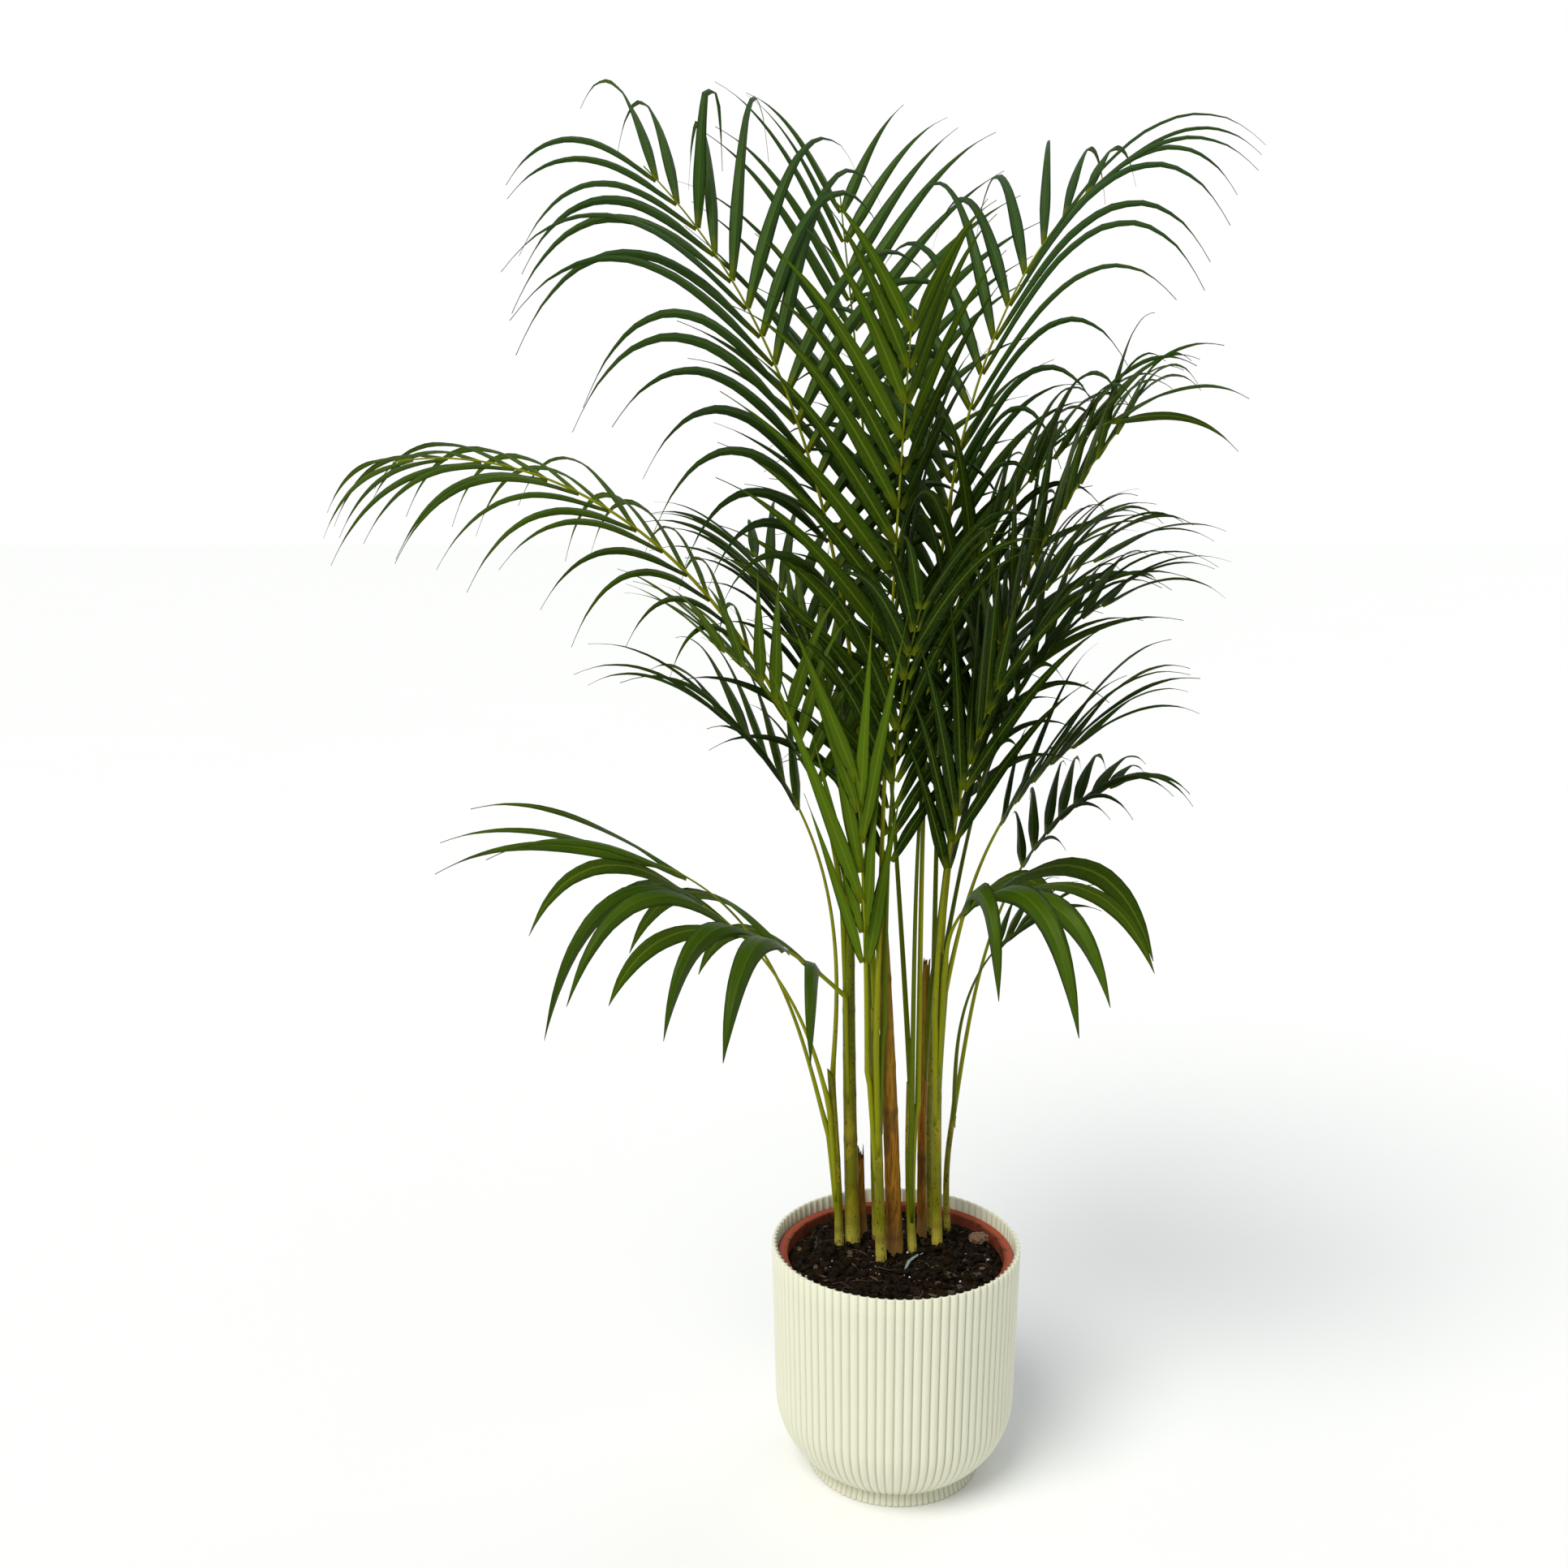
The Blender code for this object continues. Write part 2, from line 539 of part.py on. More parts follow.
def add_cane(placed, bm):
    bm.verts.index_update()
    faces = [[vert.index for vert in face.verts] for face in bm.faces]
    placed.add("cane", [tuple(vert.co) for vert in bm.verts], faces)


def outward(step, spread):
    """0, 1, -1, 2, -2 and so on, times the step, up to the spread."""
    yield 0.0
    for k in range(1, int(spread / step) + 1):
        yield k * step
        yield -k * step


def stem_solid(line, extra):
    """The petiole and rachis with no leaflets, as points and faces."""
    bare, pairs = line.shares()
    points = []
    for share in bare + [share for pair in pairs for share in pair]:
        points += line.corners(share, extra)
    last = len(points) - 4
    faces = [(0, 1, 2, 3)]
    for a in range(4):
        after = (a + 1) % 4
        faces += [(k + a, k + after, k + 4 + after, k + 4 + a) for k in range(0, last, 4)]
        faces.append((last + a, last + after, last + 4))
    return points + [line.at(1.0)[0]], faces


def place_stem(frond, placed):
    """Moves the frond's foot round its cane, then swings its heading, until the whole stem is clear."""
    for swing in outward(3, 60):
        for side in outward(20, 160 if frond.rise < 1.0 else 0):
            line = Line(frond, side, swing)
            if placed.hits(*stem_solid(line, LEAFLET_CLEARANCE)) == 0:
                placed.add(frond.name, *stem_solid(line, 0.0))
                return line
    raise ValueError(f"{frond.name} finds no clear way up from its cane")


def courses():
    """The ways a leaflet may go, best first: how much shorter, more or less fanned, and swung up."""
    for shorter in (1.0, 0.85, 0.7, 0.55, 0.4, 0.25):
        for fanned in (0, -8, 8, -16):
            for swing in outward(4, 40):
                yield shorter, fanned, swing


def place_leaflet(line, pair, hand, placed):
    """Turns the leaflet, then shortens it, until it is clear. One that finds no room isn't grown."""
    name = line.frond.name
    for course in courses():
        test = leaflet_solid(line, pair, hand, course, LEAFLET_CLEARANCE)
        # Against its own frond it starts a little way out, so that its own base doesn't count.
        near = [b + (c - b) * OWN_BASE_SHARE for b, c in zip(test[:4], test[4:8])]
        own = placed.hits(near + test[4:], LEAFLET_FACES, mine=name)
        if own + placed.hits(test, LEAFLET_FACES, others=name) == 0:
            made = leaflet_solid(line, pair, hand, course)
            placed.add(name, made, LEAFLET_FACES)
            return made
    return None


def frond_mesh(line, placed):
    """The rachis's rings, left open where a leaflet grows out, with the leaflets' faces sewn in."""
    bm = bmesh.new()
    bare, pairs = line.shares()
    rings = [[bm.verts.new(point) for point in line.corners(share)] for share in bare]
    open_sides = set()
    for pair in pairs:
        back, front = ([bm.verts.new(point) for point in line.corners(share)] for share in pair)
        rings += [back, front]
        for hand in (1, -1):
            made = place_leaflet(line, pair, hand, placed)
            if made is None:
                continue
            open_sides.add((len(rings) - 2, 3 if hand > 0 else 1))
            verts = base_of(back, front, hand) + [bm.verts.new(point) for point in made[4:]]
            for face in LEAFLET_FACES:
                bm.faces.new([verts[k] for k in face])
    for k, (low, high) in enumerate(zip(rings, rings[1:])):
        for a in range(4):
            if (k, a) not in open_sides:
                after = (a + 1) % 4
                bm.faces.new((low[a], low[after], high[after], high[a]))
    bm.faces.new(rings[0])
    end = bm.verts.new(line.at(1.0)[0])
    for a in range(4):
        bm.faces.new((rings[-1][a], rings[-1][(a + 1) % 4], end))
    return bm


def build():
    clear_scene()
    cane_skins = {
        "green": material("green_cane", (0.16, 0.23, 0.012), 0.45),
        "brown": material("dry_sheath", (0.16, 0.07, 0.012), 0.70),
    }
    leaf_green = material("leaf_green", (0.022, 0.075, 0.012), 0.35)
    cover_pot(material("ivory_plastic", (0.76, 0.75, 0.60), 0.45))
    nursery_pot(material("terracotta_plastic", (0.30, 0.045, 0.020), 0.45))
    soil(material("potting_mix", (0.012, 0.008, 0.005), 0.95))
    bark_chunk(material("pale_bark", (0.17, 0.11, 0.06), 0.9))
    fallen_leaflet(material("dry_leaflet", (0.20, 0.27, 0.20), 0.7))
    placed = Placed()
    for cane in CANES:
        bm = cane_mesh(cane)
        add_cane(placed, bm)
        add_object(cane.name, bm, cane_skins[cane.colour])
    lines = [place_stem(frond, placed) for frond in FRONDS]
    for line in lines:
        add_object(line.frond.name, frond_mesh(line, placed), leaf_green)


build()
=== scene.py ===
import math
import random
from collections import namedtuple

import bmesh
import bpy
import numpy as np
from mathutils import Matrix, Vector, noise
from mathutils.bvhtree import BVHTree


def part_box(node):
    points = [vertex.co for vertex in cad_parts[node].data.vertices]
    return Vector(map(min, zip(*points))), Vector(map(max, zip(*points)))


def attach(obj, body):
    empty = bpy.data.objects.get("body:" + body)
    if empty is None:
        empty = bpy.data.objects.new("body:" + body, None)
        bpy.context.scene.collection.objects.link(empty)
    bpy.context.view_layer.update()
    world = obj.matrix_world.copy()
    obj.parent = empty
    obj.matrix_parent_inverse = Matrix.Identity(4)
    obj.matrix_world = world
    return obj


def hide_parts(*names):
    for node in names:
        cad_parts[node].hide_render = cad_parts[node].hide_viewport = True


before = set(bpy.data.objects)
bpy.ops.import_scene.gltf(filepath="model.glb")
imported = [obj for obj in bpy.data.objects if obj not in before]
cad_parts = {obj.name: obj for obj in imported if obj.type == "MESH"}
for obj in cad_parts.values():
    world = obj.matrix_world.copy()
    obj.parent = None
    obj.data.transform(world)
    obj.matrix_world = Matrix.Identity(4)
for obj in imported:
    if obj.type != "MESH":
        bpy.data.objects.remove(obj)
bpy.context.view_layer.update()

# --- Cover pot -------------------------------------------------------------------------------
# An ivory plastic cover pot, injection moulded in one piece. Its wall is folded into rounded
# upright flutes, inside and out, that run down over the rounded bottom to a small flared foot.

FLUTES = 88
FLUTE_STEPS = 10             # points round one flute
FLUTE_DEPTH = 0.0021
POT_WALL = 0.0030
POT_FOOT_RADIUS = 0.0775
POT_WAIST_RADIUS = 0.0745
POT_WAIST_HEIGHT = 0.0100
POT_ROUND_HEIGHT = 0.0700
POT_ROUND_START = math.radians(40)   # round the ellipse, so that the side leaves the waist in a V
POT_SIDE_TAPER = 0.0035
POT_LIP = 0.0010             # how far the rim is rounded over
FOOT_ROWS = 6
ROUND_ROWS = 18
SIDE_ROWS = 8

pot_low, pot_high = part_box("outer_pot")
pot_radius = pot_high.x
pot_height = pot_high.z


def piece_of(name, points, faces, finishes, nodes, finish_of_face=None):
    """One closed mesh that stands for CAD nodes, smooth shaded, with its finishes."""
    mesh = bpy.data.meshes.new(name)
    mesh.from_pydata([tuple(p) for p in points], [], faces)
    mesh.validate()
    for finish in finishes:
        mesh.materials.append(finish)
    if finish_of_face is not None:
        mesh.polygons.foreach_set("material_index", finish_of_face)
    mesh.shade_smooth()
    piece = bpy.data.objects.new(name, mesh)
    bpy.context.scene.collection.objects.link(piece)
    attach(piece, "root")
    if nodes:
        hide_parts(*nodes)
    return piece


def bands(rows, count, first=0):
    """Four-sided faces between rings of count points each, which follow one another from first."""
    faces = []
    for low in range(first, first + (rows - 1) * count, count):
        for k in range(count):
            after = (k + 1) % count
            faces.append((low + k, low + after, low + count + after, low + count + k))
    return faces


def note_on(piece, name, values):
    """Stores one number per point, for the finish to read."""
    stored = piece.data.attributes.new(name, "FLOAT", "POINT")
    stored.data.foreach_set("value", np.asarray(values, np.float32))


class Finish:
    """A Principled material and short calls to wire its nodes."""

    def __init__(self, name, **constants):
        self.material = bpy.data.materials.new(name)
        self.material.use_nodes = True
        self.tree = self.material.node_tree
        self.shader = self.tree.nodes["Principled BSDF"]
        for socket, value in constants.items():
            self.shader.inputs[socket.replace("_", " ")].default_value = value

    def node(self, kind, settings=None, **inputs):
        made = self.tree.nodes.new(kind)
        for key, value in (settings or {}).items():
            setattr(made, key, value)
        for key, value in inputs.items():
            self.feed(value, made.inputs[key.replace("_", " ")])
        return made

    def feed(self, value, socket):
        if isinstance(value, bpy.types.NodeSocket):
            self.tree.links.new(value, socket)
        elif hasattr(value, "outputs"):
            self.tree.links.new(value.outputs[0], socket)
        else:
            socket.default_value = value

    def noted(self, name):
        return self.node("ShaderNodeAttribute", {"attribute_name": name}).outputs["Fac"]

    def place(self, stretch=(1, 1, 1)):
        spot = self.node("ShaderNodeTexCoord").outputs["Object"]
        return self.node("ShaderNodeMapping", Vector=spot, Scale=stretch).outputs[0]

    def cloud(self, size, stretch=(1, 1, 1), detail=4.0, rough=0.55):
        """Noise whose features are about size metres across."""
        spot = self.place(stretch)
        made = self.node("ShaderNodeTexNoise", Vector=spot, Scale=1 / size, Detail=detail)
        made.inputs["Roughness"].default_value = rough
        return made.outputs["Fac"]

    def steps(self, value, low, high, to_low=0.0, to_high=1.0):
        """A soft step: to_low where the value is below low, to_high where it is above high."""
        made = self.node("ShaderNodeMapRange", {"interpolation_type": "SMOOTHSTEP"}, Value=value)
        ends = {"From Min": low, "From Max": high, "To Min": to_low, "To Max": to_high}
        for key, number in ends.items():
            made.inputs[key].default_value = number
        return made.outputs[0]

    def maths(self, operation, first, second=0.0):
        made = self.node("ShaderNodeMath", {"operation": operation})
        self.feed(first, made.inputs[0])
        self.feed(second, made.inputs[1])
        return made.outputs[0]

    def times(self, first, second):
        return self.maths("MULTIPLY", first, second)

    def plus(self, first, second):
        return self.maths("ADD", first, second)

    def mix(self, share, first, second):
        made = self.node("ShaderNodeMix", {"data_type": "RGBA"})
        self.feed(share, made.inputs[0])
        self.feed(first if not isinstance(first, tuple) else (*first, 1), made.inputs[6])
        self.feed(second if not isinstance(second, tuple) else (*second, 1), made.inputs[7])
        return made.outputs[2]

    def colour(self, value):
        self.feed(value, self.shader.inputs["Base Color"])

    def roughness(self, value):
        self.feed(value, self.shader.inputs["Roughness"])

    def relief(self, height, depth):
        """Bump of the given depth in metres."""
        made = self.node("ShaderNodeBump", Height=height, Distance=depth, Strength=1.0)
        self.tree.links.new(made.outputs[0], self.shader.inputs["Normal"])


def ivory_plastic():
    finish = Finish("ivory_plastic", Roughness=0.36, IOR=1.47, Specular_IOR_Level=0.35)
    tint = finish.mix(finish.cloud(0.05), (0.755, 0.75, 0.59), (0.715, 0.71, 0.55))
    # Painted shade with some dust: the flutes' grooves and the crease at the waist are darkened where shade
    # falls.
    groove_dust_and_shade = finish.times(finish.noted("groove"), 0.62)
    tint = finish.mix(groove_dust_and_shade, tint, (0.36, 0.34, 0.21))
    low = finish.steps(finish.noted("height"), 0.0, 0.16, 0.22, 0.0)
    scuffed = finish.times(low, finish.steps(finish.cloud(0.012), 0.45, 0.7))
    finish.colour(finish.mix(scuffed, tint, (0.50, 0.47, 0.33)))
    finish.roughness(finish.steps(finish.cloud(0.004), 0.2, 0.8, 0.30, 0.46))
    finish.relief(finish.cloud(0.0007, detail=2.0), 0.00003)
    return finish.material


def pot_side(height):
    """The cover pot's outer radius at the flutes' crests."""
    side = pot_radius - POT_SIDE_TAPER
    if height >= POT_ROUND_HEIGHT:
        return side + POT_SIDE_TAPER * (height - POT_ROUND_HEIGHT) / (pot_height - POT_ROUND_HEIGHT)
    if height >= POT_WAIST_HEIGHT:
        left = 1 - (height - POT_WAIST_HEIGHT) / (POT_ROUND_HEIGHT - POT_WAIST_HEIGHT)
        low = math.sin(POT_ROUND_START)
        out = (math.sqrt(1 - (left * math.cos(POT_ROUND_START)) ** 2) - low) / (1 - low)
        return POT_WAIST_RADIUS + (side - POT_WAIST_RADIUS) * out
    flare = (1 - height / POT_WAIST_HEIGHT) ** 1.6
    return POT_WAIST_RADIUS + (POT_FOOT_RADIUS - POT_WAIST_RADIUS) * flare


def flute(turn):
    """How deep the wall stands below a crest, from 0 on the crest to 1 in the groove."""
    across = 2 * ((turn * FLUTES / math.tau) % 1.0) - 1
    return (1 - math.sqrt(1 - 0.97 * across * across)) / (1 - math.sqrt(0.03))


def cover_pot():
    columns = FLUTES * FLUTE_STEPS
    rounding = POT_ROUND_HEIGHT - POT_WAIST_HEIGHT
    side = pot_height - POT_LIP - POT_ROUND_HEIGHT
    heights = [POT_WAIST_HEIGHT * k / FOOT_ROWS for k in range(FOOT_ROWS)]
    heights += [POT_WAIST_HEIGHT + rounding * (1 - math.cos(math.pi * k / (2 * ROUND_ROWS)))
                for k in range(ROUND_ROWS)]
    heights += [POT_ROUND_HEIGHT + side * k / SIDE_ROWS for k in range(SIDE_ROWS + 1)]
    # Each row: its height, how far it stands out past the crest line, and its share of the flutes.
    rows = [(0.0015, -0.020, 0.0), (0.0, -0.017, 0.0), (0.0, -0.0012, 0.5)]
    rows += [(height + 0.0006 * (k == 0), 0.0, 1.0) for k, height in enumerate(heights)]
    rows += [(pot_height - 0.0003, -0.0004, 1.0), (pot_height, -POT_LIP, 1.0),
             (pot_height, POT_LIP - POT_WALL, 1.0), (pot_height - 0.0003, 0.0004 - POT_WALL, 1.0)]
    rows += [(height, -POT_WALL, 1.0) for height in reversed(heights[FOOT_ROWS + 1:])]
    rows += [(POT_WAIST_HEIGHT + 0.0005, -0.020, 0.0)]
    turns = np.arange(columns) * math.tau / columns
    grooves = np.array([flute(turn) for turn in turns])
    points, groove_dust_and_shade_note, height_note = [(0, 0, rows[0][0])], [0.0], [0.0]
    for height, out, share in rows:
        crest = pot_side(height)
        radius = crest + out - share * FLUTE_DEPTH * (crest / pot_radius) * grooves
        points += [(r * math.cos(t), r * math.sin(t), height) for r, t in zip(radius, turns)]
        # Painted shade in the crease at the waist, added to the grooves' note.
        crease_shade = 0.35 * math.exp(-((height - POT_WAIST_HEIGHT) / 0.006) ** 2)
        groove_dust_and_shade_note += list(share * np.clip(np.clip(grooves * 1.6 - 0.6, 0, 1) + crease_shade, 0, 1))
        height_note += [height / pot_height] * columns
    points.append((0, 0, rows[-1][0]))
    groove_dust_and_shade_note.append(0.0)
    height_note.append(0.0)
    faces = bands(len(rows), columns, 1)
    last = 1 + (len(rows) - 1) * columns
    for column in range(columns):
        after = (column + 1) % columns
        faces += [(0, 1 + after, 1 + column), (last + column, last + after, len(points) - 1)]
    pot = piece_of("fluted_cover_pot", points, faces, [ivory_plastic()], ["outer_pot"])
    note_on(pot, "groove", groove_dust_and_shade_note)
    note_on(pot, "height", height_note)


cover_pot()

# --- Nursery pot -----------------------------------------------------------------------------
# The grower's thin pot of terracotta-coloured plastic, with a rolled rim. It stands loose inside
# the cover pot, a finger's width below its rim, and carries smears of soil from potting.

NURSERY_STEPS = 192
NURSERY_WALL = 0.0022
NURSERY_FLOOR_RADIUS = 0.0645
NURSERY_RIM_WIDTH = 0.0065
NURSERY_RIM_HEIGHT = 0.012
NURSERY_BEAD = 0.0018        # the rounding of the rim's outer edge
NURSERY_EDGE = 0.0009        # the rounding of its inner edge
NURSERY_SWAY = 0.0004        # how far thin plastic is from round, and its rim from level
NURSERY_WAVE = 0.0005

nursery_low, nursery_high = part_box("nursery_pot")
nursery_mouth = nursery_high.x - NURSERY_RIM_WIDTH - NURSERY_WALL


def terracotta_plastic():
    finish = Finish("terracotta_plastic", Roughness=0.42, IOR=1.47, Specular_IOR_Level=0.25)
    tint = finish.mix(finish.cloud(0.03), (0.36, 0.066, 0.026), (0.28, 0.046, 0.018))
    inner = finish.noted("inner")
    smear = finish.plus(finish.steps(finish.cloud(0.010), 0.50, 0.72, 0.0, 0.75),
                        finish.steps(inner, 0.55, 1.0, 0.0, 0.55))
    speck = finish.steps(finish.cloud(0.0014), 0.60, 0.68, 0.0, 0.8)
    crumbs = finish.plus(speck, finish.steps(inner, 0.3, 1.0, 0.15, 0.8))
    dirt = finish.times(smear, crumbs)
    finish.colour(finish.mix(dirt, tint, (0.030, 0.018, 0.010)))
    finish.roughness(finish.steps(dirt, 0.0, 0.8, 0.38, 0.85))
    finish.relief(finish.cloud(0.0012), 0.00006)
    return finish.material


def nursery_pot():
    top, outer = nursery_high.z, nursery_high.x
    floor = nursery_low.z
    skirt = top - NURSERY_RIM_HEIGHT
    body = outer - NURSERY_RIM_WIDTH
    profile = [(0, floor), (NURSERY_FLOOR_RADIUS - 0.002, floor), (NURSERY_FLOOR_RADIUS, floor + 0.002)]
    profile += [(NURSERY_FLOOR_RADIUS + (body - NURSERY_FLOOR_RADIUS) * k / 6,
                 floor + 0.002 + (skirt - floor - 0.002) * k / 6) for k in range(1, 7)]
    profile += [(outer - 0.0022, skirt - 0.0003), (outer - 0.0006, skirt + 0.0006)]
    bead, edge = NURSERY_BEAD, NURSERY_EDGE
    profile += [(outer - bead + bead * math.cos(a), top - bead + bead * math.sin(a))
                for a in np.radians(np.arange(0, 91, 15))]
    profile += [(outer - 0.0034, top - 0.0011), (body - 0.0002, top - 0.0012)]
    profile += [(body - 0.0012 + edge * math.cos(a), top - 0.0012 + edge * math.sin(a))
                for a in np.radians(np.arange(30, 181, 30))]
    profile += [(body - NURSERY_WALL, top - 0.004), (body - NURSERY_WALL, skirt)]
    profile += [(NURSERY_FLOOR_RADIUS - NURSERY_WALL, floor + NURSERY_WALL), (0, floor + NURSERY_WALL)]
    points, faces, inner_note, rings = [], [], [], []
    for radius, height in profile:
        start = len(points)
        count = 1 if radius == 0 else NURSERY_STEPS
        rings.append([start + k % count for k in range(NURSERY_STEPS)])
        for k in range(count):
            turn = math.tau * k / NURSERY_STEPS
            out, lift = radius, 0.0
            if height > skirt:
                out += NURSERY_SWAY * math.sin(2 * turn + 0.7)
                lift = NURSERY_WAVE * (math.sin(3 * turn) - 1)
            points.append((out * math.cos(turn), out * math.sin(turn), height + lift))
            inner_note.append(np.clip((outer - radius) / (outer - nursery_mouth), 0, 1))
    for low, high in zip(rings, rings[1:]):
        for k in range(NURSERY_STEPS):
            after = (k + 1) % NURSERY_STEPS
            faces.append(tuple(dict.fromkeys((low[k], low[after], high[after], high[k]))))
    pot = piece_of("growing_pot", points, faces, [terracotta_plastic()], ["nursery_pot"])
    note_on(pot, "inner", inner_note)


nursery_pot()

# --- Potting mix -----------------------------------------------------------------------------
# Damp dark peat mix that fills the nursery pot: an uneven, crumbly top with clods, chips of bark,
# white grains of perlite and thin old roots, heaped a little round the canes.

SOIL_RINGS = 60
SOIL_STEPS = 200
SOIL_DEPTH = 0.030           # how deep the unseen underside lies
HEAP_CROWN = 0.003           # how much higher the middle is than the edge
HEAP_EDGE = 0.86             # the share of the radius where it falls off towards the pot's wall
HEAP_EDGE_DROP = 0.004
CLODS = 1500
CHIPS = 170
PERLITE_GRAINS = 64
ROOTS = 70

soil_top = round(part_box("soil")[1].z, 5)
soil_radius = nursery_mouth - 0.0004
dice = random.Random(7)


def heap(x, y):
    """The height of the soil's top at a place: lumps and grains, highest in the middle."""
    reach = math.hypot(x, y) / soil_radius
    lumps = noise.fractal(Vector((x, y, 0.3)) * 62, 1.0, 2.0, 4) * 0.0030
    grains = noise.fractal(Vector((x, y, 1.7)) * 260, 1.0, 2.0, 3) * 0.0008
    crown = HEAP_CROWN * (1 - reach * reach)
    edge = HEAP_EDGE_DROP * max(0, reach - HEAP_EDGE) / (1 - HEAP_EDGE)
    return soil_top - 0.0005 + lumps + grains + crown - edge


def peat():
    finish = Finish("peat", Roughness=0.9, IOR=1.4, Specular_IOR_Level=0.12)
    clumps = finish.steps(finish.cloud(0.006), 0.35, 0.65)
    tint = finish.mix(clumps, (0.0010, 0.0006, 0.0003), (0.016, 0.0085, 0.0030))
    crumbs = finish.steps(finish.cloud(0.0016), 0.55, 0.70, 0.0, 0.6)
    tint = finish.mix(crumbs, tint, (0.055, 0.028, 0.009))
    damp = finish.steps(finish.cloud(0.02), 0.45, 0.65)
    finish.colour(tint)
    finish.roughness(finish.maths("SUBTRACT", 0.95, finish.times(damp, 0.35)))
    finish.relief(finish.cloud(0.0009, detail=6.0, rough=0.7), 0.0006)
    return finish.material


def soil_surface():
    points, faces = [(0, 0, heap(0, 0))], []
    for ring in range(1, SOIL_RINGS + 1):
        radius = soil_radius * ring / SOIL_RINGS
        for k in range(SOIL_STEPS):
            turn = math.tau * k / SOIL_STEPS
            x, y = radius * math.cos(turn), radius * math.sin(turn)
            points.append((x, y, heap(x, y)))
    for k in range(SOIL_STEPS):
        turn = math.tau * k / SOIL_STEPS
        radius = soil_radius - 0.004
        points.append((radius * math.cos(turn), radius * math.sin(turn), soil_top - SOIL_DEPTH))
    points.append((0, 0, soil_top - SOIL_DEPTH))
    for k in range(SOIL_STEPS):
        after = (k + 1) % SOIL_STEPS
        faces.append((0, 1 + k, 1 + after))
        for ring in range(SOIL_RINGS):
            low, high = 1 + ring * SOIL_STEPS, 1 + (ring + 1) * SOIL_STEPS
            faces.append((low + k, high + k, high + after, low + after))
        last = 1 + SOIL_RINGS * SOIL_STEPS
        faces.append((last + k, len(points) - 1, last + after))
    piece_of("soil_surface", points, faces, [peat_finish], ["soil"])


def pebble(fineness):
    """Points and faces of a ball to be knocked out of shape."""
    ball = bmesh.new()
    bmesh.ops.create_icosphere(ball, subdivisions=fineness, radius=1.0)
    points = np.array([v.co[:] for v in ball.verts])
    faces = [[v.index for v in face.verts] for face in ball.faces]
    ball.free()
    return points, faces


def turn_of(yaw, tip, side):
    """A rotation from three angles."""
    cy, sy, ct, st, cs, ss = (f(a) for a in (yaw, tip, side) for f in (math.cos, math.sin))
    about_z = np.array([[cy, -sy, 0], [sy, cy, 0], [0, 0, 1]])
    about_y = np.array([[ct, 0, st], [0, 1, 0], [-st, 0, ct]])
    about_x = np.array([[1, 0, 0], [0, cs, -ss], [0, ss, cs]])
    return about_z @ about_y @ about_x


def on_soil(spread=0.96):
    """A place on the soil chosen evenly over its top."""
    radius = soil_radius * spread * math.sqrt(dice.random())
    turn = dice.uniform(0, math.tau)
    return radius * math.cos(turn), radius * math.sin(turn)


def scatter(name, finish, count, shape, sizes, rise=0.2):
    """Many small broken lumps on the soil: shape is their proportions, sizes the smallest and the
    largest half length, and rise the share of it that the middle stands above the soil."""
    ball, ball_faces = pebble(2)
    points, faces, tones = [], [], []
    for _ in range(count):
        x, y = on_soil()
        size = sizes[0] + (sizes[1] - sizes[0]) * dice.random() ** 3
        seed = Vector((x, y, size)) * 900
        knocks = 1 + 0.35 * np.array([noise.noise(Vector(p) * 1.7 + seed) for p in ball])
        turn = turn_of(dice.uniform(0, math.tau), dice.gauss(0, 0.35), dice.gauss(0, 0.35))
        turned = (ball * knocks[:, None] * np.array(shape) * size) @ turn.T
        turned += (x, y, heap(x, y) + rise * size)
        faces += [[len(points) + k for k in face] for face in ball_faces]
        points += list(turned)
        tones += [dice.random()] * len(ball)
    piece = piece_of(name, points, faces, [finish], [])
    note_on(piece, "tone", tones)


def chip_bark():
    finish = Finish("bark_chips", Roughness=0.85)
    tint = finish.mix(finish.noted("tone"), (0.016, 0.008, 0.004), (0.140, 0.074, 0.028))
    grain = finish.cloud(0.0012, (1, 6, 6))
    finish.colour(finish.mix(finish.steps(grain, 0.35, 0.7, 0.0, 0.6), tint, (0.020, 0.012, 0.008)))
    finish.relief(grain, 0.0003)
    return finish.material


def white_perlite():
    finish = Finish("perlite", Roughness=0.8)
    tint = finish.mix(finish.noted("tone"), (0.28, 0.25, 0.20), (0.75, 0.73, 0.68))
    stain = finish.steps(finish.cloud(0.0008), 0.5, 0.7, 0.0, 0.6)
    finish.colour(finish.mix(stain, tint, (0.12, 0.09, 0.06)))
    finish.relief(finish.cloud(0.0003), 0.0002)
    return finish.material


def tube_along(points, radii, sides):
    """A closed round tube down a line of points."""
    points = np.array(points, float)
    along = np.gradient(points, axis=0)
    along /= np.linalg.norm(along, axis=1)[:, None]
    made = []
    side = np.cross(along[0], (0.3, 0.2, 1.0) if abs(along[0][2]) < 0.9 else (1.0, 0.2, 0.1))
    for middle, way, radius in zip(points, along, radii):
        side = side - way * side.dot(way)
        side /= np.linalg.norm(side)
        other = np.cross(way, side)
        turns = np.arange(sides) * math.tau / sides
        made += [middle + radius * (math.cos(t) * side + math.sin(t) * other) for t in turns]
    faces = bands(len(points), sides)
    faces += [tuple(reversed(range(sides))), tuple(range(len(made) - sides, len(made)))]
    return made, faces


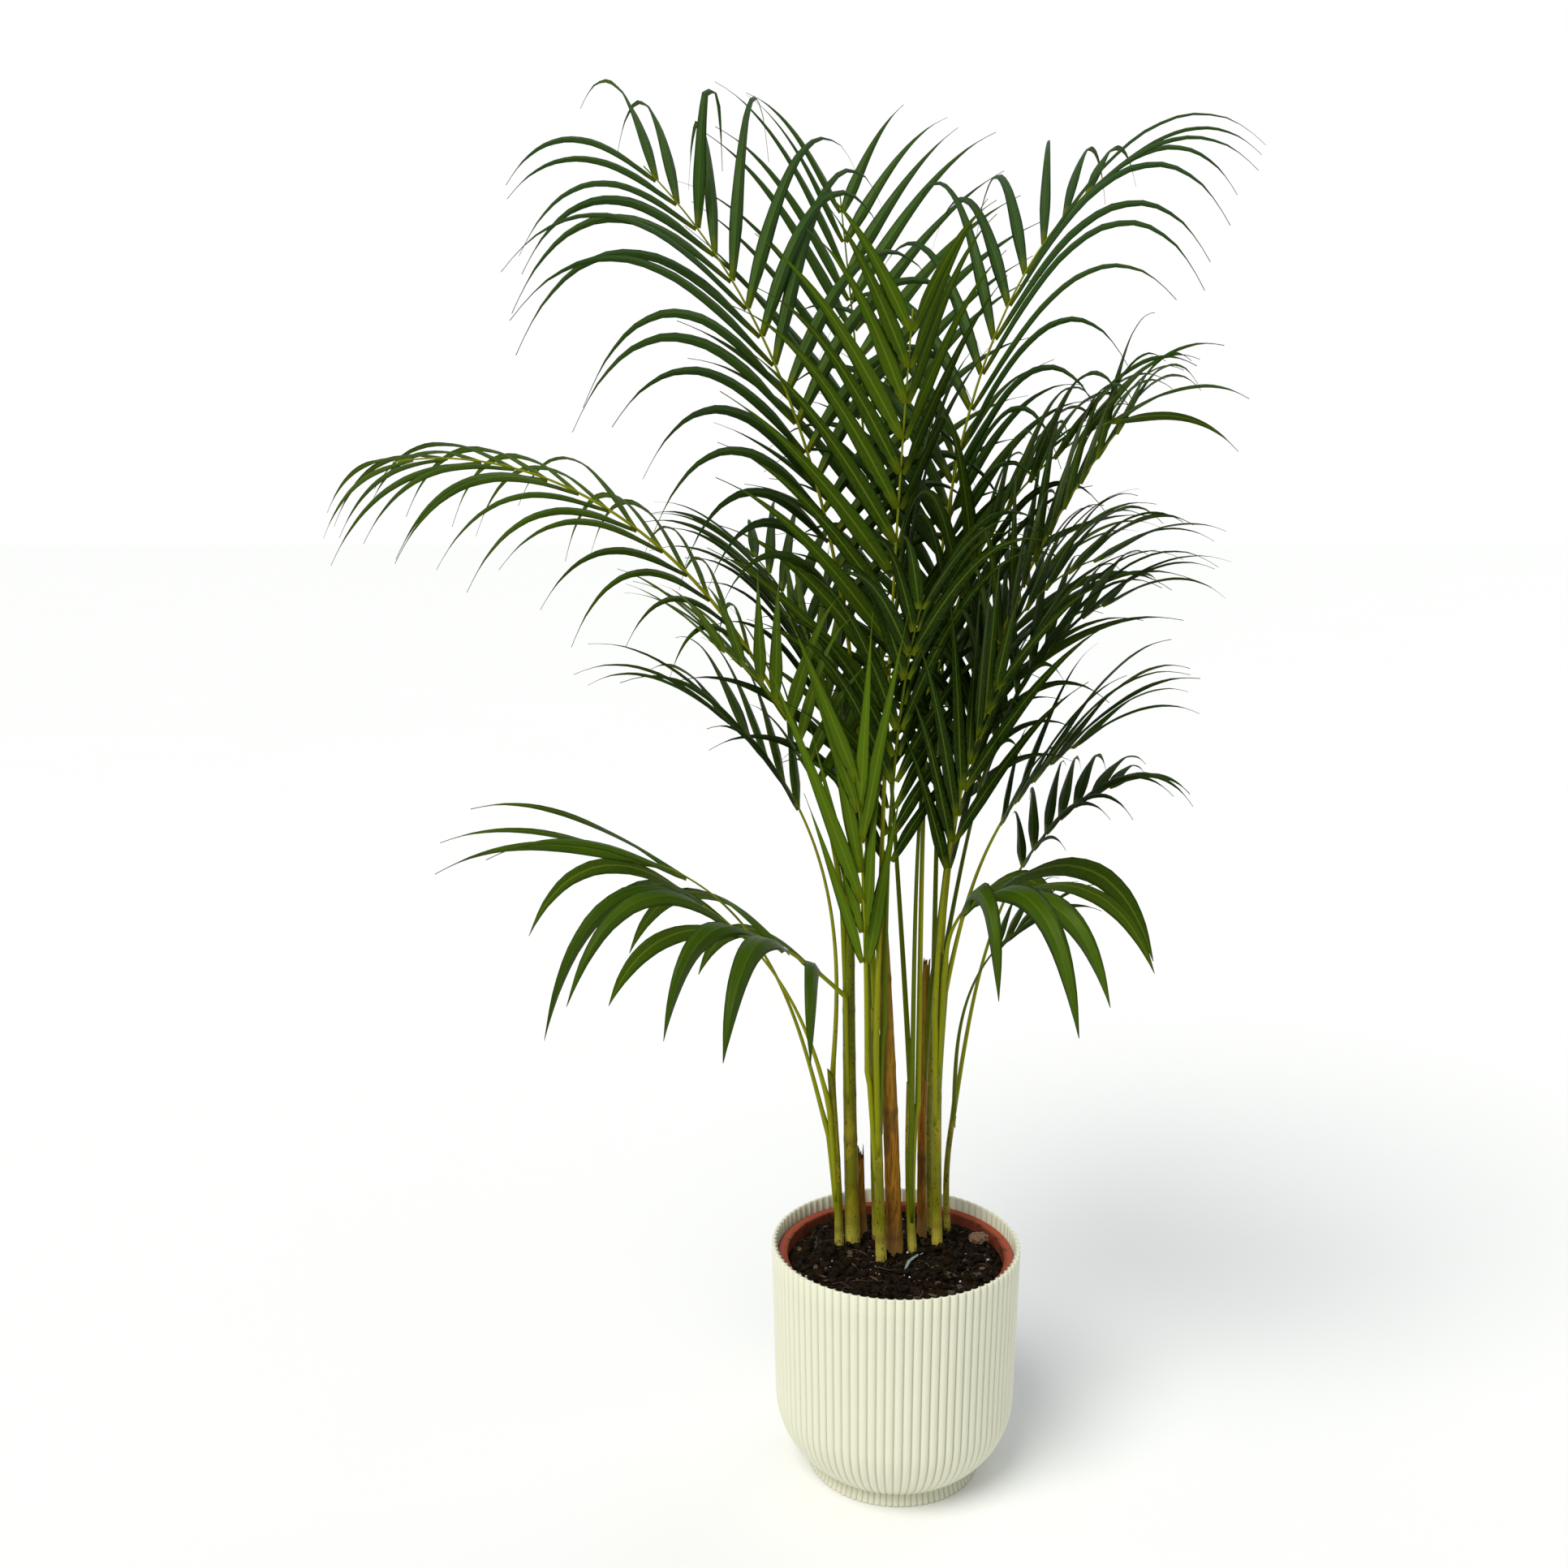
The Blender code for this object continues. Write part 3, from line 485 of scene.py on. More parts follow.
def old_roots():
    bends = 8
    points, faces, tones = [], [], []
    for _ in range(ROOTS):
        x, y = on_soil(0.9)
        heading = dice.uniform(0, math.tau)
        length = dice.uniform(0.006, 0.026)
        curl = dice.uniform(-2.2, 2.2)
        line = []
        for k in range(bends + 1):
            turn = heading + curl * k / bends
            x += math.cos(turn) * length / bends
            y += math.sin(turn) * length / bends
            if math.hypot(x, y) > soil_radius * 0.97:
                break
            line.append((x, y, heap(x, y) + 0.0006 + 0.0014 * math.sin(math.pi * k / bends)))
        if len(line) < 4:
            continue
        thick = dice.uniform(0.00018, 0.00042)
        radii = [thick * (1 - 0.6 * k / len(line)) for k in range(len(line))]
        tube, tube_faces = tube_along(line, radii, sides=5)
        faces += [[len(points) + k for k in face] for face in tube_faces]
        points += tube
        tones += [dice.random()] * len(tube)
    piece = piece_of("old_roots", points, faces, [root_skin()], [])
    note_on(piece, "tone", tones)


def root_skin():
    finish = Finish("old_root_skin", Roughness=0.8)
    tint = finish.mix(finish.noted("tone"), (0.030, 0.016, 0.009), (0.17, 0.095, 0.050))
    finish.colour(finish.mix(finish.cloud(0.002), tint, (0.05, 0.03, 0.02)))
    return finish.material


peat_finish = peat()
soil_surface()
scatter("soil_clods", peat_finish, CLODS, (1.0, 0.85, 0.7), (0.0005, 0.0052))
scatter("bark_chips", chip_bark(), CHIPS, (1.0, 0.55, 0.22), (0.0014, 0.0062), rise=0.15)
scatter("perlite", white_perlite(), PERLITE_GRAINS, (1.0, 0.9, 0.8), (0.0004, 0.0013),
        rise=0.6)
old_roots()

# --- Loose bits ------------------------------------------------------------------------------
# What fell on the soil: one pale broken lump of bark by the rim, and a faded dry strip of an old
# leaflet that curls in front of the canes.

STRIP_MARGIN = 0.0015        # from the corners of the leaflet's box to the ends of its middle line
STRIP_STEPS = 28
STRIP_BOW = 0.003
STRIP_HALF = 0.0017
STRIP_REST = 0.0026          # how high its middle line stands above the soil
STRIP_LIFT = 0.0016          # and how much more in the middle of its length
# Round its section: sideways and up, as shares of its half width.
STRIP_SECTION = ((-1, 0.0), (-0.5, 0.25), (0, -0.15), (0.5, 0.25), (1, 0.0), (0.5, -0.1), (0, -0.5),
                 (-0.5, -0.1))


def pale_bark():
    finish = Finish("pale_bark", Roughness=0.88)
    tint = finish.mix(finish.cloud(0.004), (0.22, 0.135, 0.070), (0.085, 0.045, 0.022))
    pits = finish.steps(finish.cloud(0.0015), 0.55, 0.72)
    finish.colour(finish.mix(pits, tint, (0.035, 0.020, 0.012)))
    finish.relief(finish.cloud(0.0012, detail=6.0), 0.0007)
    return finish.material


def bark_lump():
    low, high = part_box("bark_chunk")
    middle, half = (low + high) / 2, (high - low) / 2
    ball, faces = pebble(4)
    rough = [0.94 + 0.30 * noise.fractal(Vector(place) * 2.1, 0.8, 2.0, 5) for place in ball]
    points = [[m + p * k * h for m, p, h in zip(middle, place, half)] for place, k in zip(ball, rough)]
    piece_of("pale_bark_lump", points, faces, [pale_bark()], ["bark_chunk"])


def faded_leaf():
    finish = Finish("faded_leaf", Roughness=0.65)
    veins = finish.cloud(0.0006)
    along = finish.steps(finish.noted("along"), 0.0, 1.0)
    tint = finish.mix(along, (0.24, 0.33, 0.27), (0.16, 0.24, 0.20))
    finish.colour(finish.mix(finish.steps(veins, 0.5, 0.7, 0.0, 0.5), tint, (0.33, 0.38, 0.30)))
    finish.relief(veins, 0.0002)
    return finish.material


def dry_strip():
    """Widest in the middle, bowed sideways a little, with its middle curled up off the soil."""
    low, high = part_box("fallen_leaflet")
    start = np.array((high.x - STRIP_MARGIN, high.y - STRIP_MARGIN))
    end = np.array((low.x + STRIP_MARGIN, low.y + STRIP_MARGIN))
    side = np.array([end[1] - start[1], start[0] - end[0]])
    side /= np.linalg.norm(side)
    points, along_note = [], []
    for k in range(STRIP_STEPS + 1):
        share = k / STRIP_STEPS
        belly = math.sin(math.pi * share)
        middle = start + (end - start) * share + side * STRIP_BOW * belly
        half = STRIP_HALF * (0.15 + 0.85 * math.sin(math.pi * (0.06 + 0.88 * share)))
        height = heap(*middle) + STRIP_REST + STRIP_LIFT * belly
        for a, b in STRIP_SECTION:
            points.append((*(middle + a * half * side), height + b * half * 0.9))
            along_note.append(share)
    count = len(STRIP_SECTION)
    faces = bands(STRIP_STEPS + 1, count)
    faces += [tuple(range(count)), tuple(reversed(range(len(points) - count, len(points))))]
    piece = piece_of("faded_leaflet", points, faces, [faded_leaf()], ["fallen_leaflet"])
    note_on(piece, "along", along_note)


bark_lump()
dry_strip()

# --- Canes -----------------------------------------------------------------------------------
# The palm's stems: leaf sheaths wrapped tightly round each other into smooth upright canes, pale
# yellow where they leave the soil. Three are old ones that died back to brown, torn, papery sheath.

CANE_SIDES = 24
CANE_RING_STEP = 0.006       # from one ring of the cane's skin to the next
CANE_FOOT_SWELL = 0.12
CANE_TAPER = 0.22
CANE_BOW = 0.35
SOCKET_DEPTH = 0.012
SOIL_EDGE_WIDTH = 0.006
BURIED = SOCKET_DEPTH - 0.0006
FIRST_SCAR = 0.018           # the lowest leaf scar above the soil
SCAR_GAP = 0.034             # the least distance between two scars
SCAR_REACH = 0.004
TEAR_START = 0.86            # the share of its height where a cane's ragged top begins

soil_flat_radius = round(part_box("soil")[1].x - SOIL_EDGE_WIDTH, 5)

Cane = namedtuple("Cane", "name foot lean height radius colour")
CANES = [
    # foot and radius: shares of the soil's flat top; lean: how far the top stands off the foot
    Cane("cane_left_stub", (-0.55, 0.235), (-0.009, -0.003), 0.170, 0.045, "green"),
    Cane("cane_left_tall", (-0.415, 0.27), (-0.006, 0.004), 0.360, 0.072, "green"),
    Cane("cane_left_dry", (-0.29, 0.415), (-0.004, 0.003), 0.090, 0.044, "brown"),
    Cane("cane_left_thin", (-0.18, 0.38), (-0.004, 0.003), 0.180, 0.027, "green"),
    Cane("cane_front", (-0.145, -0.11), (-0.008, 0.002), 0.235, 0.052, "green"),
    Cane("cane_middle_dry", (0.0, 0.09), (-0.017, -0.003), 0.330, 0.080, "brown"),
    Cane("cane_middle", (0.18, 0.07), (-0.004, 0.006), 0.160, 0.045, "green"),
    Cane("cane_right_dry", (0.30, 0.40), (0.001, 0.005), 0.265, 0.046, "brown"),
    Cane("cane_back_thin", (0.40, 0.525), (0.000, 0.008), 0.230, 0.034, "green"),
    Cane("cane_right_tall", (0.435, 0.18), (-0.001, 0.005), 0.280, 0.052, "green"),
    Cane("cane_far_right", (0.58, 0.56), (0.005, 0.010), 0.115, 0.034, "green"),
]
CANE_BY_NAME = {cane.name: cane for cane in CANES}


def cane_foot(cane):
    return np.array([cane.foot[0] * soil_flat_radius, cane.foot[1] * soil_flat_radius, soil_top])


def cane_centre(cane, share):
    """The middle of a cane at a share of its height: a straight lean with a slight bow."""
    lean = np.array([*cane.lean, cane.height])
    bow = np.array([-cane.lean[1], cane.lean[0], 0.0]) * CANE_BOW * math.sin(math.pi * share)
    return cane_foot(cane) + lean * share + bow


def cane_radius(cane, share):
    """A cane swells in the lowest part of its height and narrows towards its top."""
    swell = CANE_FOOT_SWELL * max(0.0, 1 - share / CANE_FOOT_SWELL)
    return cane.radius * soil_flat_radius * (1.0 + swell - CANE_TAPER * share)


def green_cane_skin():
    finish = Finish("green_cane_skin", Roughness=0.38, IOR=1.45, Specular_IOR_Level=0.2)
    height = finish.noted("height")
    streak = finish.cloud(0.0014, (1, 1, 0.06), detail=3.0)
    blotch = finish.cloud(0.018, (1, 1, 0.5))
    tint = finish.mix(streak, (0.26, 0.245, 0.004), (0.060, 0.075, 0.001))
    tint = finish.mix(finish.steps(height, 0.10, 0.30), tint, (0.120, 0.145, 0.003))
    tint = finish.mix(finish.steps(blotch, 0.50, 0.66, 0.0, 0.65), tint, (0.34, 0.270, 0.012))
    tint = finish.mix(finish.steps(height, 0.002, 0.045, 0.85, 0.0), tint, (0.56, 0.47, 0.07))
    scar = finish.noted("scar")
    tint = finish.mix(finish.times(scar, 0.45), tint, (0.105, 0.060, 0.010))
    specks = finish.steps(finish.cloud(0.0016, (1, 1, 0.45), detail=2.0), 0.60, 0.66)
    where = finish.steps(finish.cloud(0.03), 0.40, 0.54)
    dirt = finish.times(finish.times(specks, where), 0.85)
    tint = finish.mix(dirt, tint, (0.016, 0.012, 0.006))
    soiled = finish.times(finish.steps(height, 0.0, 0.012, 1.0, 0.0),
                          finish.steps(finish.cloud(0.003), 0.42, 0.60))
    finish.colour(finish.mix(soiled, tint, (0.020, 0.012, 0.007)))
    finish.roughness(finish.steps(blotch, 0.3, 0.7, 0.34, 0.52))
    finish.relief(streak, 0.00035)
    return finish.material


def dry_cane_skin():
    finish = Finish("dry_cane_skin", Roughness=0.72, IOR=1.4, Specular_IOR_Level=0.2)
    height = finish.noted("height")
    fibre = finish.cloud(0.0011, (1, 1, 0.035), detail=4.0)
    blotch = finish.cloud(0.016, (1, 1, 0.4))
    tint = finish.mix(finish.steps(fibre, 0.35, 0.65), (0.42, 0.185, 0.012), (0.150, 0.058, 0.006))
    tint = finish.mix(finish.steps(blotch, 0.45, 0.65, 0.0, 0.7), tint, (0.060, 0.030, 0.006))
    tint = finish.mix(finish.steps(height, 0.10, 0.24, 0.0, 0.65), tint, (0.24, 0.155, 0.010))
    tint = finish.mix(finish.steps(height, 0.0, 0.040, 0.75, 0.0), tint, (0.34, 0.200, 0.070))
    scar = finish.noted("scar")
    finish.colour(finish.mix(finish.times(scar, 0.35), tint, (0.040, 0.020, 0.006)))
    finish.roughness(finish.steps(fibre, 0.3, 0.7, 0.62, 0.85))
    finish.relief(fibre, 0.0006)
    return finish.material


green_skin, dry_skin = green_cane_skin(), dry_cane_skin()


def cane_piece(cane, seed):
    """A closed tube with ring scars. Its top is cut aslant on a green cane and torn on a dry one."""
    dry = cane.colour == "brown"
    rings = round(cane.height / CANE_RING_STEP)
    scars = [FIRST_SCAR + (0.004 * seed) % 0.01]
    gap = SCAR_GAP + 0.006 * (seed % 4)
    while scars[-1] + gap < cane.height - 0.05:
        scars.append(scars[-1] + gap)
    turns = np.arange(CANE_SIDES) * math.tau / CANE_SIDES
    circle = np.stack([np.cos(turns), np.sin(turns)], 1)
    if dry:
        pleats = 0.055 * np.sin(7 * turns + seed) * np.sin(3 * turns + 2 * seed)
        torn = np.array([noise.noise(Vector((*(3.2 * c), seed * 7.3))) for c in circle])
        torn = (torn - torn.min()) / (torn.max() - torn.min())
        tear = (0.028 if cane.radius > 0.07 else 0.018) * torn ** 1.5
    else:
        pleats = 0.018 * np.sin(3 * turns + seed)
        tear = 0.007 * (0.5 + 0.5 * circle[:, 0])
    points, height_note, scar_note = [], [], []

    def add_ring(share, scale, lifts, scar=0.0):
        middle = cane_centre(cane, share)
        reach = cane_radius(cane, share) * scale
        for k in range(CANE_SIDES):
            points.append((*(middle[:2] + circle[k] * reach * (1 + pleats[k])), middle[2] + lifts[k]))
            height_note.append(points[-1][2] - soil_top)
            scar_note.append(scar)

    flat = np.zeros(CANE_SIDES)
    add_ring(0.0, 1.0, flat - BURIED)
    for k in range(rings + 1):
        share = k / rings
        height = share * cane.height
        near = min(abs(height - s) for s in scars)
        ridge = max(0.0, 1 - near / SCAR_REACH)
        ragged = np.clip((share - TEAR_START) / (1 - TEAR_START), 0, 1)
        sway = 1 + (0.05 if dry else 0.02) * noise.noise(Vector((height * 60, seed, 0.5)))
        add_ring(share, sway * (1 + 0.05 * ridge), flat - tear * ragged, ridge)
    for scale, drop in ((0.90, 0.0006), (0.78, 0.0040), (0.66, 0.012)):
        add_ring(1.0, scale, flat - tear * (1 if scale > 0.7 else 0.9) - drop, 0.6)
    faces = bands(len(points) // CANE_SIDES, CANE_SIDES)
    faces += [tuple(reversed(range(CANE_SIDES))), tuple(range(len(points) - CANE_SIDES, len(points)))]
    skin, slot = (dry_skin, "dry_cane") if dry else (green_skin, "green_cane")
    piece = piece_of(cane.name + "_sheath", points, faces, [skin], [cane.name])
    note_on(piece, "height", height_note)
    note_on(piece, "scar", scar_note)


for number, cane in enumerate(CANES):
    cane_piece(cane, number)

# --- Fronds ----------------------------------------------------------------------------------
# Feather leaves. Each stalk leaves a cane's sheath as a channelled petiole, runs on as the rachis,
# and carries two rows of long folded leaflets that taper to drooping, thread-thin tips.

PETIOLE_RADIUS = 0.0027
RACHIS_TIP_RADIUS = 0.0006
LEAFLET_BASE = 0.007         # how much of the rachis one leaflet grows from
LEAFLET_THICKNESS = 0.0009
LEAFLET_CLEARANCE = 0.0005
LEAFLET_REACH = 0.45
LEAFLET_STEPS = 12
LINE_STEPS = 160
OWN_BASE_SHARE = 0.06        # how much of a leaflet may touch its own frond
FAN_SPREAD = 5.0             # how unlike each other the leaflets of a frond are: degrees
LIFT_SPREAD = 5.0
LENGTH_SPREAD = 0.10
DROOP_SPREAD = 0.25
GAP = 0.0003
PETIOLE_RING_STEP = 0.07     # these three divide the plain room that a stalk and a cane take
ROOM_RING_STEP = 0.06
ROOM_SIDES = 8
SHEATH_RINGS = 8
STALK_SIDES = 10
STALK_RINGS = 46
BLADE_RINGS = 18
YOUNG_WIDTH = 0.0155         # leaflets wider than this are those of a young frond

# One frond. cane and rise: the cane it leaves and how far up it; side: which side of the cane;
# heading and turn: where it leans and how much that swings by the tip; tilt: off vertical at the
# base and tip, with bend the power between them; bare: the share with no leaflets; leaf, wide: the
# longest leaflet; fan: its angle to the rachis; lift: how far the two rows rise into a V; droop:
# how hard the leaflets hang; roll: how far the whole blade is rolled round its rachis. Degrees.
Frond = namedtuple(
    "Frond", "name cane rise side heading turn tilt bend length bare pairs leaf wide fan lift droop roll"
)
FRONDS = [
    Frond("frond_top_left", "cane_front", 1.00, 90, 165, 10, (3, 46), 2.4, 0.74,
          0.46, 16, 0.265, 0.0125, 42, 20, 1.90, -42),
    Frond("frond_top_middle", "cane_middle", 1.00, 90, 105, 10, (12, 14), 1.5, 0.80,
          0.56, 13, 0.235, 0.0135, 40, 20, 0.60, 0),
    Frond("frond_top_right", "cane_middle", 0.88, 0, 35, -10, (0, 54), 3.4, 0.84,
          0.52, 13, 0.260, 0.0115, 38, 25, 1.60, 10),
    Frond("frond_front_tall", "cane_front", 0.86, 270, 290, 0, (2, 10), 1.5, 0.61,
          0.38, 14, 0.210, 0.015, 34, 25, 0.60, 0),
    Frond("frond_long_left", "cane_left_tall", 1.00, 180, 190, -10, (22, 100), 1.9, 0.55,
          0.34, 13, 0.185, 0.010, 32, 5, 2.00, -20),
    Frond("frond_left_low_front", "cane_left_tall", 0.93, 220, 220, -10, (12, 60), 1.6, 0.26,
          0.35, 8, 0.160, 0.012, 36, 30, 0.60, 0),
    Frond("frond_left_back", "cane_left_stub", 0.94, 60, 160, 0, (-4, 60), 1.8, 0.36,
          0.66, 5, 0.190, 0.013, 27, 20, 0.90, 0),
    Frond("frond_low_left_upper", "cane_left_stub", 0.70, 180, 184, 0, (14, 78), 2.2, 0.31,
          0.82, 2, 0.230, 0.015, 16, 0, 0.70, 0),
    Frond("frond_low_left_middle", "cane_left_stub", 0.86, 210, 190, 0, (14, 56), 1.4, 0.215,
          0.76, 2, 0.250, 0.017, 24, 0, 3.00, 0),
    Frond("frond_low_left_lower", "cane_left_tall", 0.66, 250, 205, 0, (46, 70), 1.6, 0.13,
          0.20, 3, 0.200, 0.020, 38, 10, 3.20, 0),
    Frond("frond_low_right_fan", "cane_right_tall", 0.95, 300, 335, 0, (0, 84), 1.3, 0.095,
          0.45, 3, 0.215, 0.021, 32, 5, 3.20, 0),
    Frond("frond_low_right_small", "cane_far_right", 1.00, 0, 10, 0, (0, 62), 2.1, 0.19,
          0.80, 3, 0.110, 0.012, 28, 15, 0.80, 0),
    Frond("frond_low_right", "cane_far_right", 0.80, 60, 15, 0, (8, 78), 2.7, 0.38,
          0.66, 7, 0.125, 0.012, 36, 30, 1.50, 0),
    Frond("frond_right_middle", "cane_right_tall", 0.90, 20, 355, 0, (11, 60), 1.9, 0.25,
          0.55, 5, 0.190, 0.013, 28, 20, 0.80, 0),
    Frond("frond_right_upper", "cane_right_tall", 0.84, 60, 15, 0, (10, 74), 3.2, 0.40,
          0.45, 10, 0.190, 0.012, 36, 25, 1.10, 0),
    Frond("frond_right_front", "cane_right_dry", 0.95, 320, 325, 20, (6, 78), 3.6, 0.42,
          0.45, 10, 0.190, 0.013, 38, 25, 1.10, 0),
    Frond("frond_right_tall", "cane_right_tall", 1.00, 25, 25, 0, (4, 40), 1.6, 0.48,
          0.40, 12, 0.210, 0.013, 36, 25, 1.20, 0),
    Frond("frond_front_right_arch", "cane_middle", 0.78, 300, 330, 20, (0, 73), 3.6, 0.67,
          0.52, 12, 0.200, 0.014, 38, 20, 1.20, 0),
    Frond("frond_left_inner", "cane_left_tall", 0.84, 120, 150, 0, (-3, 40), 1.6, 0.28,
          0.35, 8, 0.170, 0.013, 34, 25, 0.80, 0),
    Frond("frond_front_dark", "cane_front", 0.94, 330, 280, 0, (0, 46), 1.8, 0.40,
          0.34, 11, 0.190, 0.015, 25, 25, 1.00, 0),
    Frond("frond_back_tall", "cane_back_thin", 1.00, 75, 75, 0, (0, 22), 1.6, 0.50,
          0.40, 12, 0.200, 0.013, 40, 25, 0.80, 0),
    Frond("frond_front_young", "cane_front", 0.76, 200, 250, 0, (4, 15), 1.6, 0.28,
          0.32, 7, 0.220, 0.015, 13, 15, 0.15, 0),
    Frond("frond_right_inner", "cane_right_tall", 0.78, 280, 310, 0, (2, 30), 1.6, 0.32,
          0.40, 8, 0.200, 0.015, 20, 25, 0.60, 0),
    Frond("frond_back_left", "cane_left_thin", 1.00, 120, 130, 0, (3, 60), 2.0, 0.50,
          0.42, 12, 0.190, 0.013, 40, 25, 1.00, 0),
    Frond("frond_back_right", "cane_back_thin", 0.85, 30, 50, 0, (3, 62), 2.0, 0.47,
          0.42, 12, 0.190, 0.013, 40, 25, 1.00, 0),
]


class Line:
    """A frond's centre-line, with its frame: along, out to the left, and up off the blade."""

    def __init__(self, frond, side_turn, swing):
        shares = (np.arange(LINE_STEPS) + 0.5) / LINE_STEPS
        low, high = frond.tilt
        tilt = np.radians(low + (high - low) * shares ** frond.bend)
        heading = np.radians(frond.heading + swing + frond.turn * shares)
        along = np.stack([np.sin(tilt) * np.cos(heading), np.sin(tilt) * np.sin(heading), np.cos(tilt)], 1)
        left = np.stack([-np.sin(heading), np.cos(heading), 0 * heading], 1)
        up = np.cross(along, left)
        roll = math.radians(frond.roll)
        self.frond = frond
        self.side = frond.side + side_turn
        self.along = along
        self.left = math.cos(roll) * left + math.sin(roll) * up
        self.up = math.cos(roll) * up - math.sin(roll) * left
        steps = along * frond.length / LINE_STEPS
        self.points = np.vstack([np.zeros(3), np.cumsum(steps, 0)]) + self.start()

    def start(self):
        """On top of the cane, or beside it with a gap, at the frond's rise and side."""
        cane = CANE_BY_NAME[self.frond.cane]
        middle = cane_centre(cane, self.frond.rise)
        if self.frond.rise >= 1.0:
            tipped = PETIOLE_RADIUS * math.sqrt(2) * math.sin(math.radians(abs(self.frond.tilt[0])))
            return middle + np.array([0, 0, GAP + tipped])
        off = cane_radius(cane, self.frond.rise) + PETIOLE_RADIUS * math.sqrt(2) + LEAFLET_CLEARANCE
        turn = math.radians(self.side)
        return middle + off * np.array([math.cos(turn), math.sin(turn), 0])

    def at(self, share):
        """Position, along, left and up at a share of the length."""
        step = min(max(share, 0.0), 1.0) * LINE_STEPS
        low = min(int(step), LINE_STEPS - 1)
        point = self.points[low] + (self.points[low + 1] - self.points[low]) * (step - low)
        return point, self.along[low], self.left[low], self.up[low]

    def radius(self, share):
        return PETIOLE_RADIUS + (RACHIS_TIP_RADIUS - PETIOLE_RADIUS) * share ** 0.8

    def corners(self, share, extra=0.0):
        """The four corners that hold the petiole or rachis."""
        point, _, left, up = self.at(share)
        reach = self.radius(share) + extra
        return [point + reach * (a * left + b * up) for a, b in ((1, 1), (-1, 1), (-1, -1), (1, -1))]

    def shares(self):
        """Where the bare petiole's stations are, and the two ends of each pair of leaflets' base."""
        frond = self.frond
        steps = max(3, round(frond.length * frond.bare / PETIOLE_RING_STEP))
        bare = [frond.bare * k / steps for k in range(steps)]
        half = 0.5 * LEAFLET_BASE / frond.length
        middles = [frond.bare + (1 - frond.bare) * (k + 0.4) / frond.pairs for k in range(frond.pairs)]
        return bare, [(middle - half, middle + half) for middle in middles]


def leaflet_size(share):
    """How a leaflet's length runs over the blade, from the lowest pair (0) to the tip (1)."""
    return 0.25 + 0.75 * math.sin(math.pi * (0.15 + 0.77 * share)) ** 0.8


def unlike(line, share, hand):
    """Four numbers from -1 to 1 that set one leaflet apart from the next, the same at each run."""
    dice = random.Random(f"{line.frond.name} {share:.2f} {hand}")
    return [dice.uniform(-1, 1) for _ in range(4)]


def leaflet_line(line, share, hand, course):
    """Points and ways down one leaflet. hand is 1 on the left and -1 on the right."""
    frond = line.frond
    shorter, fanned, swing = course
    fan_luck, lift_luck, length_luck, droop_luck = unlike(line, share, hand)
    blade = (share - frond.bare) / (1 - frond.bare)
    point, along, left, up = line.at(share)
    fan = math.radians(frond.fan * (1.25 - 0.5 * blade) + fanned + FAN_SPREAD * fan_luck)
    lift = math.radians(frond.lift + swing + LIFT_SPREAD * lift_luck)
    out = math.cos(lift) * hand * left + math.sin(lift) * up
    away = math.cos(fan) * along + math.sin(fan) * out
    length = frond.leaf * leaflet_size(blade) * shorter * (1 + LENGTH_SPREAD * length_luck)
    steps = (np.arange(LEAFLET_STEPS) + 0.5) / LEAFLET_STEPS
    droop = frond.droop * (1 + DROOP_SPREAD * droop_luck)
    ways = away - np.outer(droop * steps ** 1.8, (0, 0, 1))
    ways /= np.linalg.norm(ways, axis=1)[:, None]
    foot = point + line.radius(share) * hand * left
    points = foot + np.vstack([np.zeros(3), np.cumsum(ways, 0) * length / LEAFLET_STEPS])
    return points, ways, along, up


def leaflet_frame(way, along, up):
    """Across and face of a leaflet that goes one way off a rachis."""
    across = along - way * along.dot(way)
    across /= np.linalg.norm(across)
    face = np.cross(way, across)
    return across, face * math.copysign(1.0, face.dot(up))


def leaflet_room(line, pair, hand, course, extra):
    """The space a leaflet takes: its base on the rachis, its widest ring and its tip."""
    back, front = line.corners(pair[0]), line.corners(pair[1])
    base = [back[3], back[0], front[0], front[3]] if hand > 0 else [back[2], back[1], front[1], front[2]]
    points, ways, along, up = leaflet_line(line, sum(pair) / 2, hand, course)
    step = round(LEAFLET_REACH * LEAFLET_STEPS)
    across, face = leaflet_frame(ways[step - 1], along, up)
    half = 0.5 * line.frond.wide + extra
    thick = 0.5 * LEAFLET_THICKNESS + extra
    ring = [points[step] + a * half * across + b * thick * face
            for a, b in ((-1, -1), (-1, 1), (1, 1), (1, -1))]
    return base + ring + [points[-1]]


# A leaflet's room: four sides from its base to its widest ring, then four to its tip.
ROOM_FACES = [(0, 1, 5, 4), (1, 2, 6, 5), (2, 3, 7, 6), (3, 0, 4, 7),
              (4, 5, 8), (5, 6, 8), (6, 7, 8), (7, 4, 8)]


class Placed:
    """The room already taken by canes, stalks and leaflets, for a new one to stay clear of."""

    def __init__(self):
        self.owners = []
        self.trees = []
        self.boxes = np.empty((0, 6))

    def add(self, owner, points, faces):
        points = np.array(points)
        self.owners.append(owner)
        self.trees.append(BVHTree.FromPolygons(points.tolist(), faces))
        self.boxes = np.vstack([self.boxes, [*points.min(0), *points.max(0)]])

    def hits(self, points, faces, mine=None, others=None):
        """How many solids the new one would cut: only those of mine, or all but those of others."""
        points = np.array(points)
        apart = (points.min(0) > self.boxes[:, 3:]) | (points.max(0) < self.boxes[:, :3])
        near = [k for k in np.flatnonzero(~apart.any(1)) if self.concerns(k, mine, others)]
        if not near:
            return 0
        tree = BVHTree.FromPolygons(points.tolist(), faces)
        return sum(bool(tree.overlap(self.trees[k])) for k in near)

    def concerns(self, number, mine, others):
        owner = self.owners[number]
        return owner == mine if mine else owner != others


def outward(step, spread):
    """0, 1, -1, 2, -2 and so on, times the step, up to the spread."""
    yield 0.0
    for k in range(1, int(spread / step) + 1):
        yield k * step
        yield -k * step


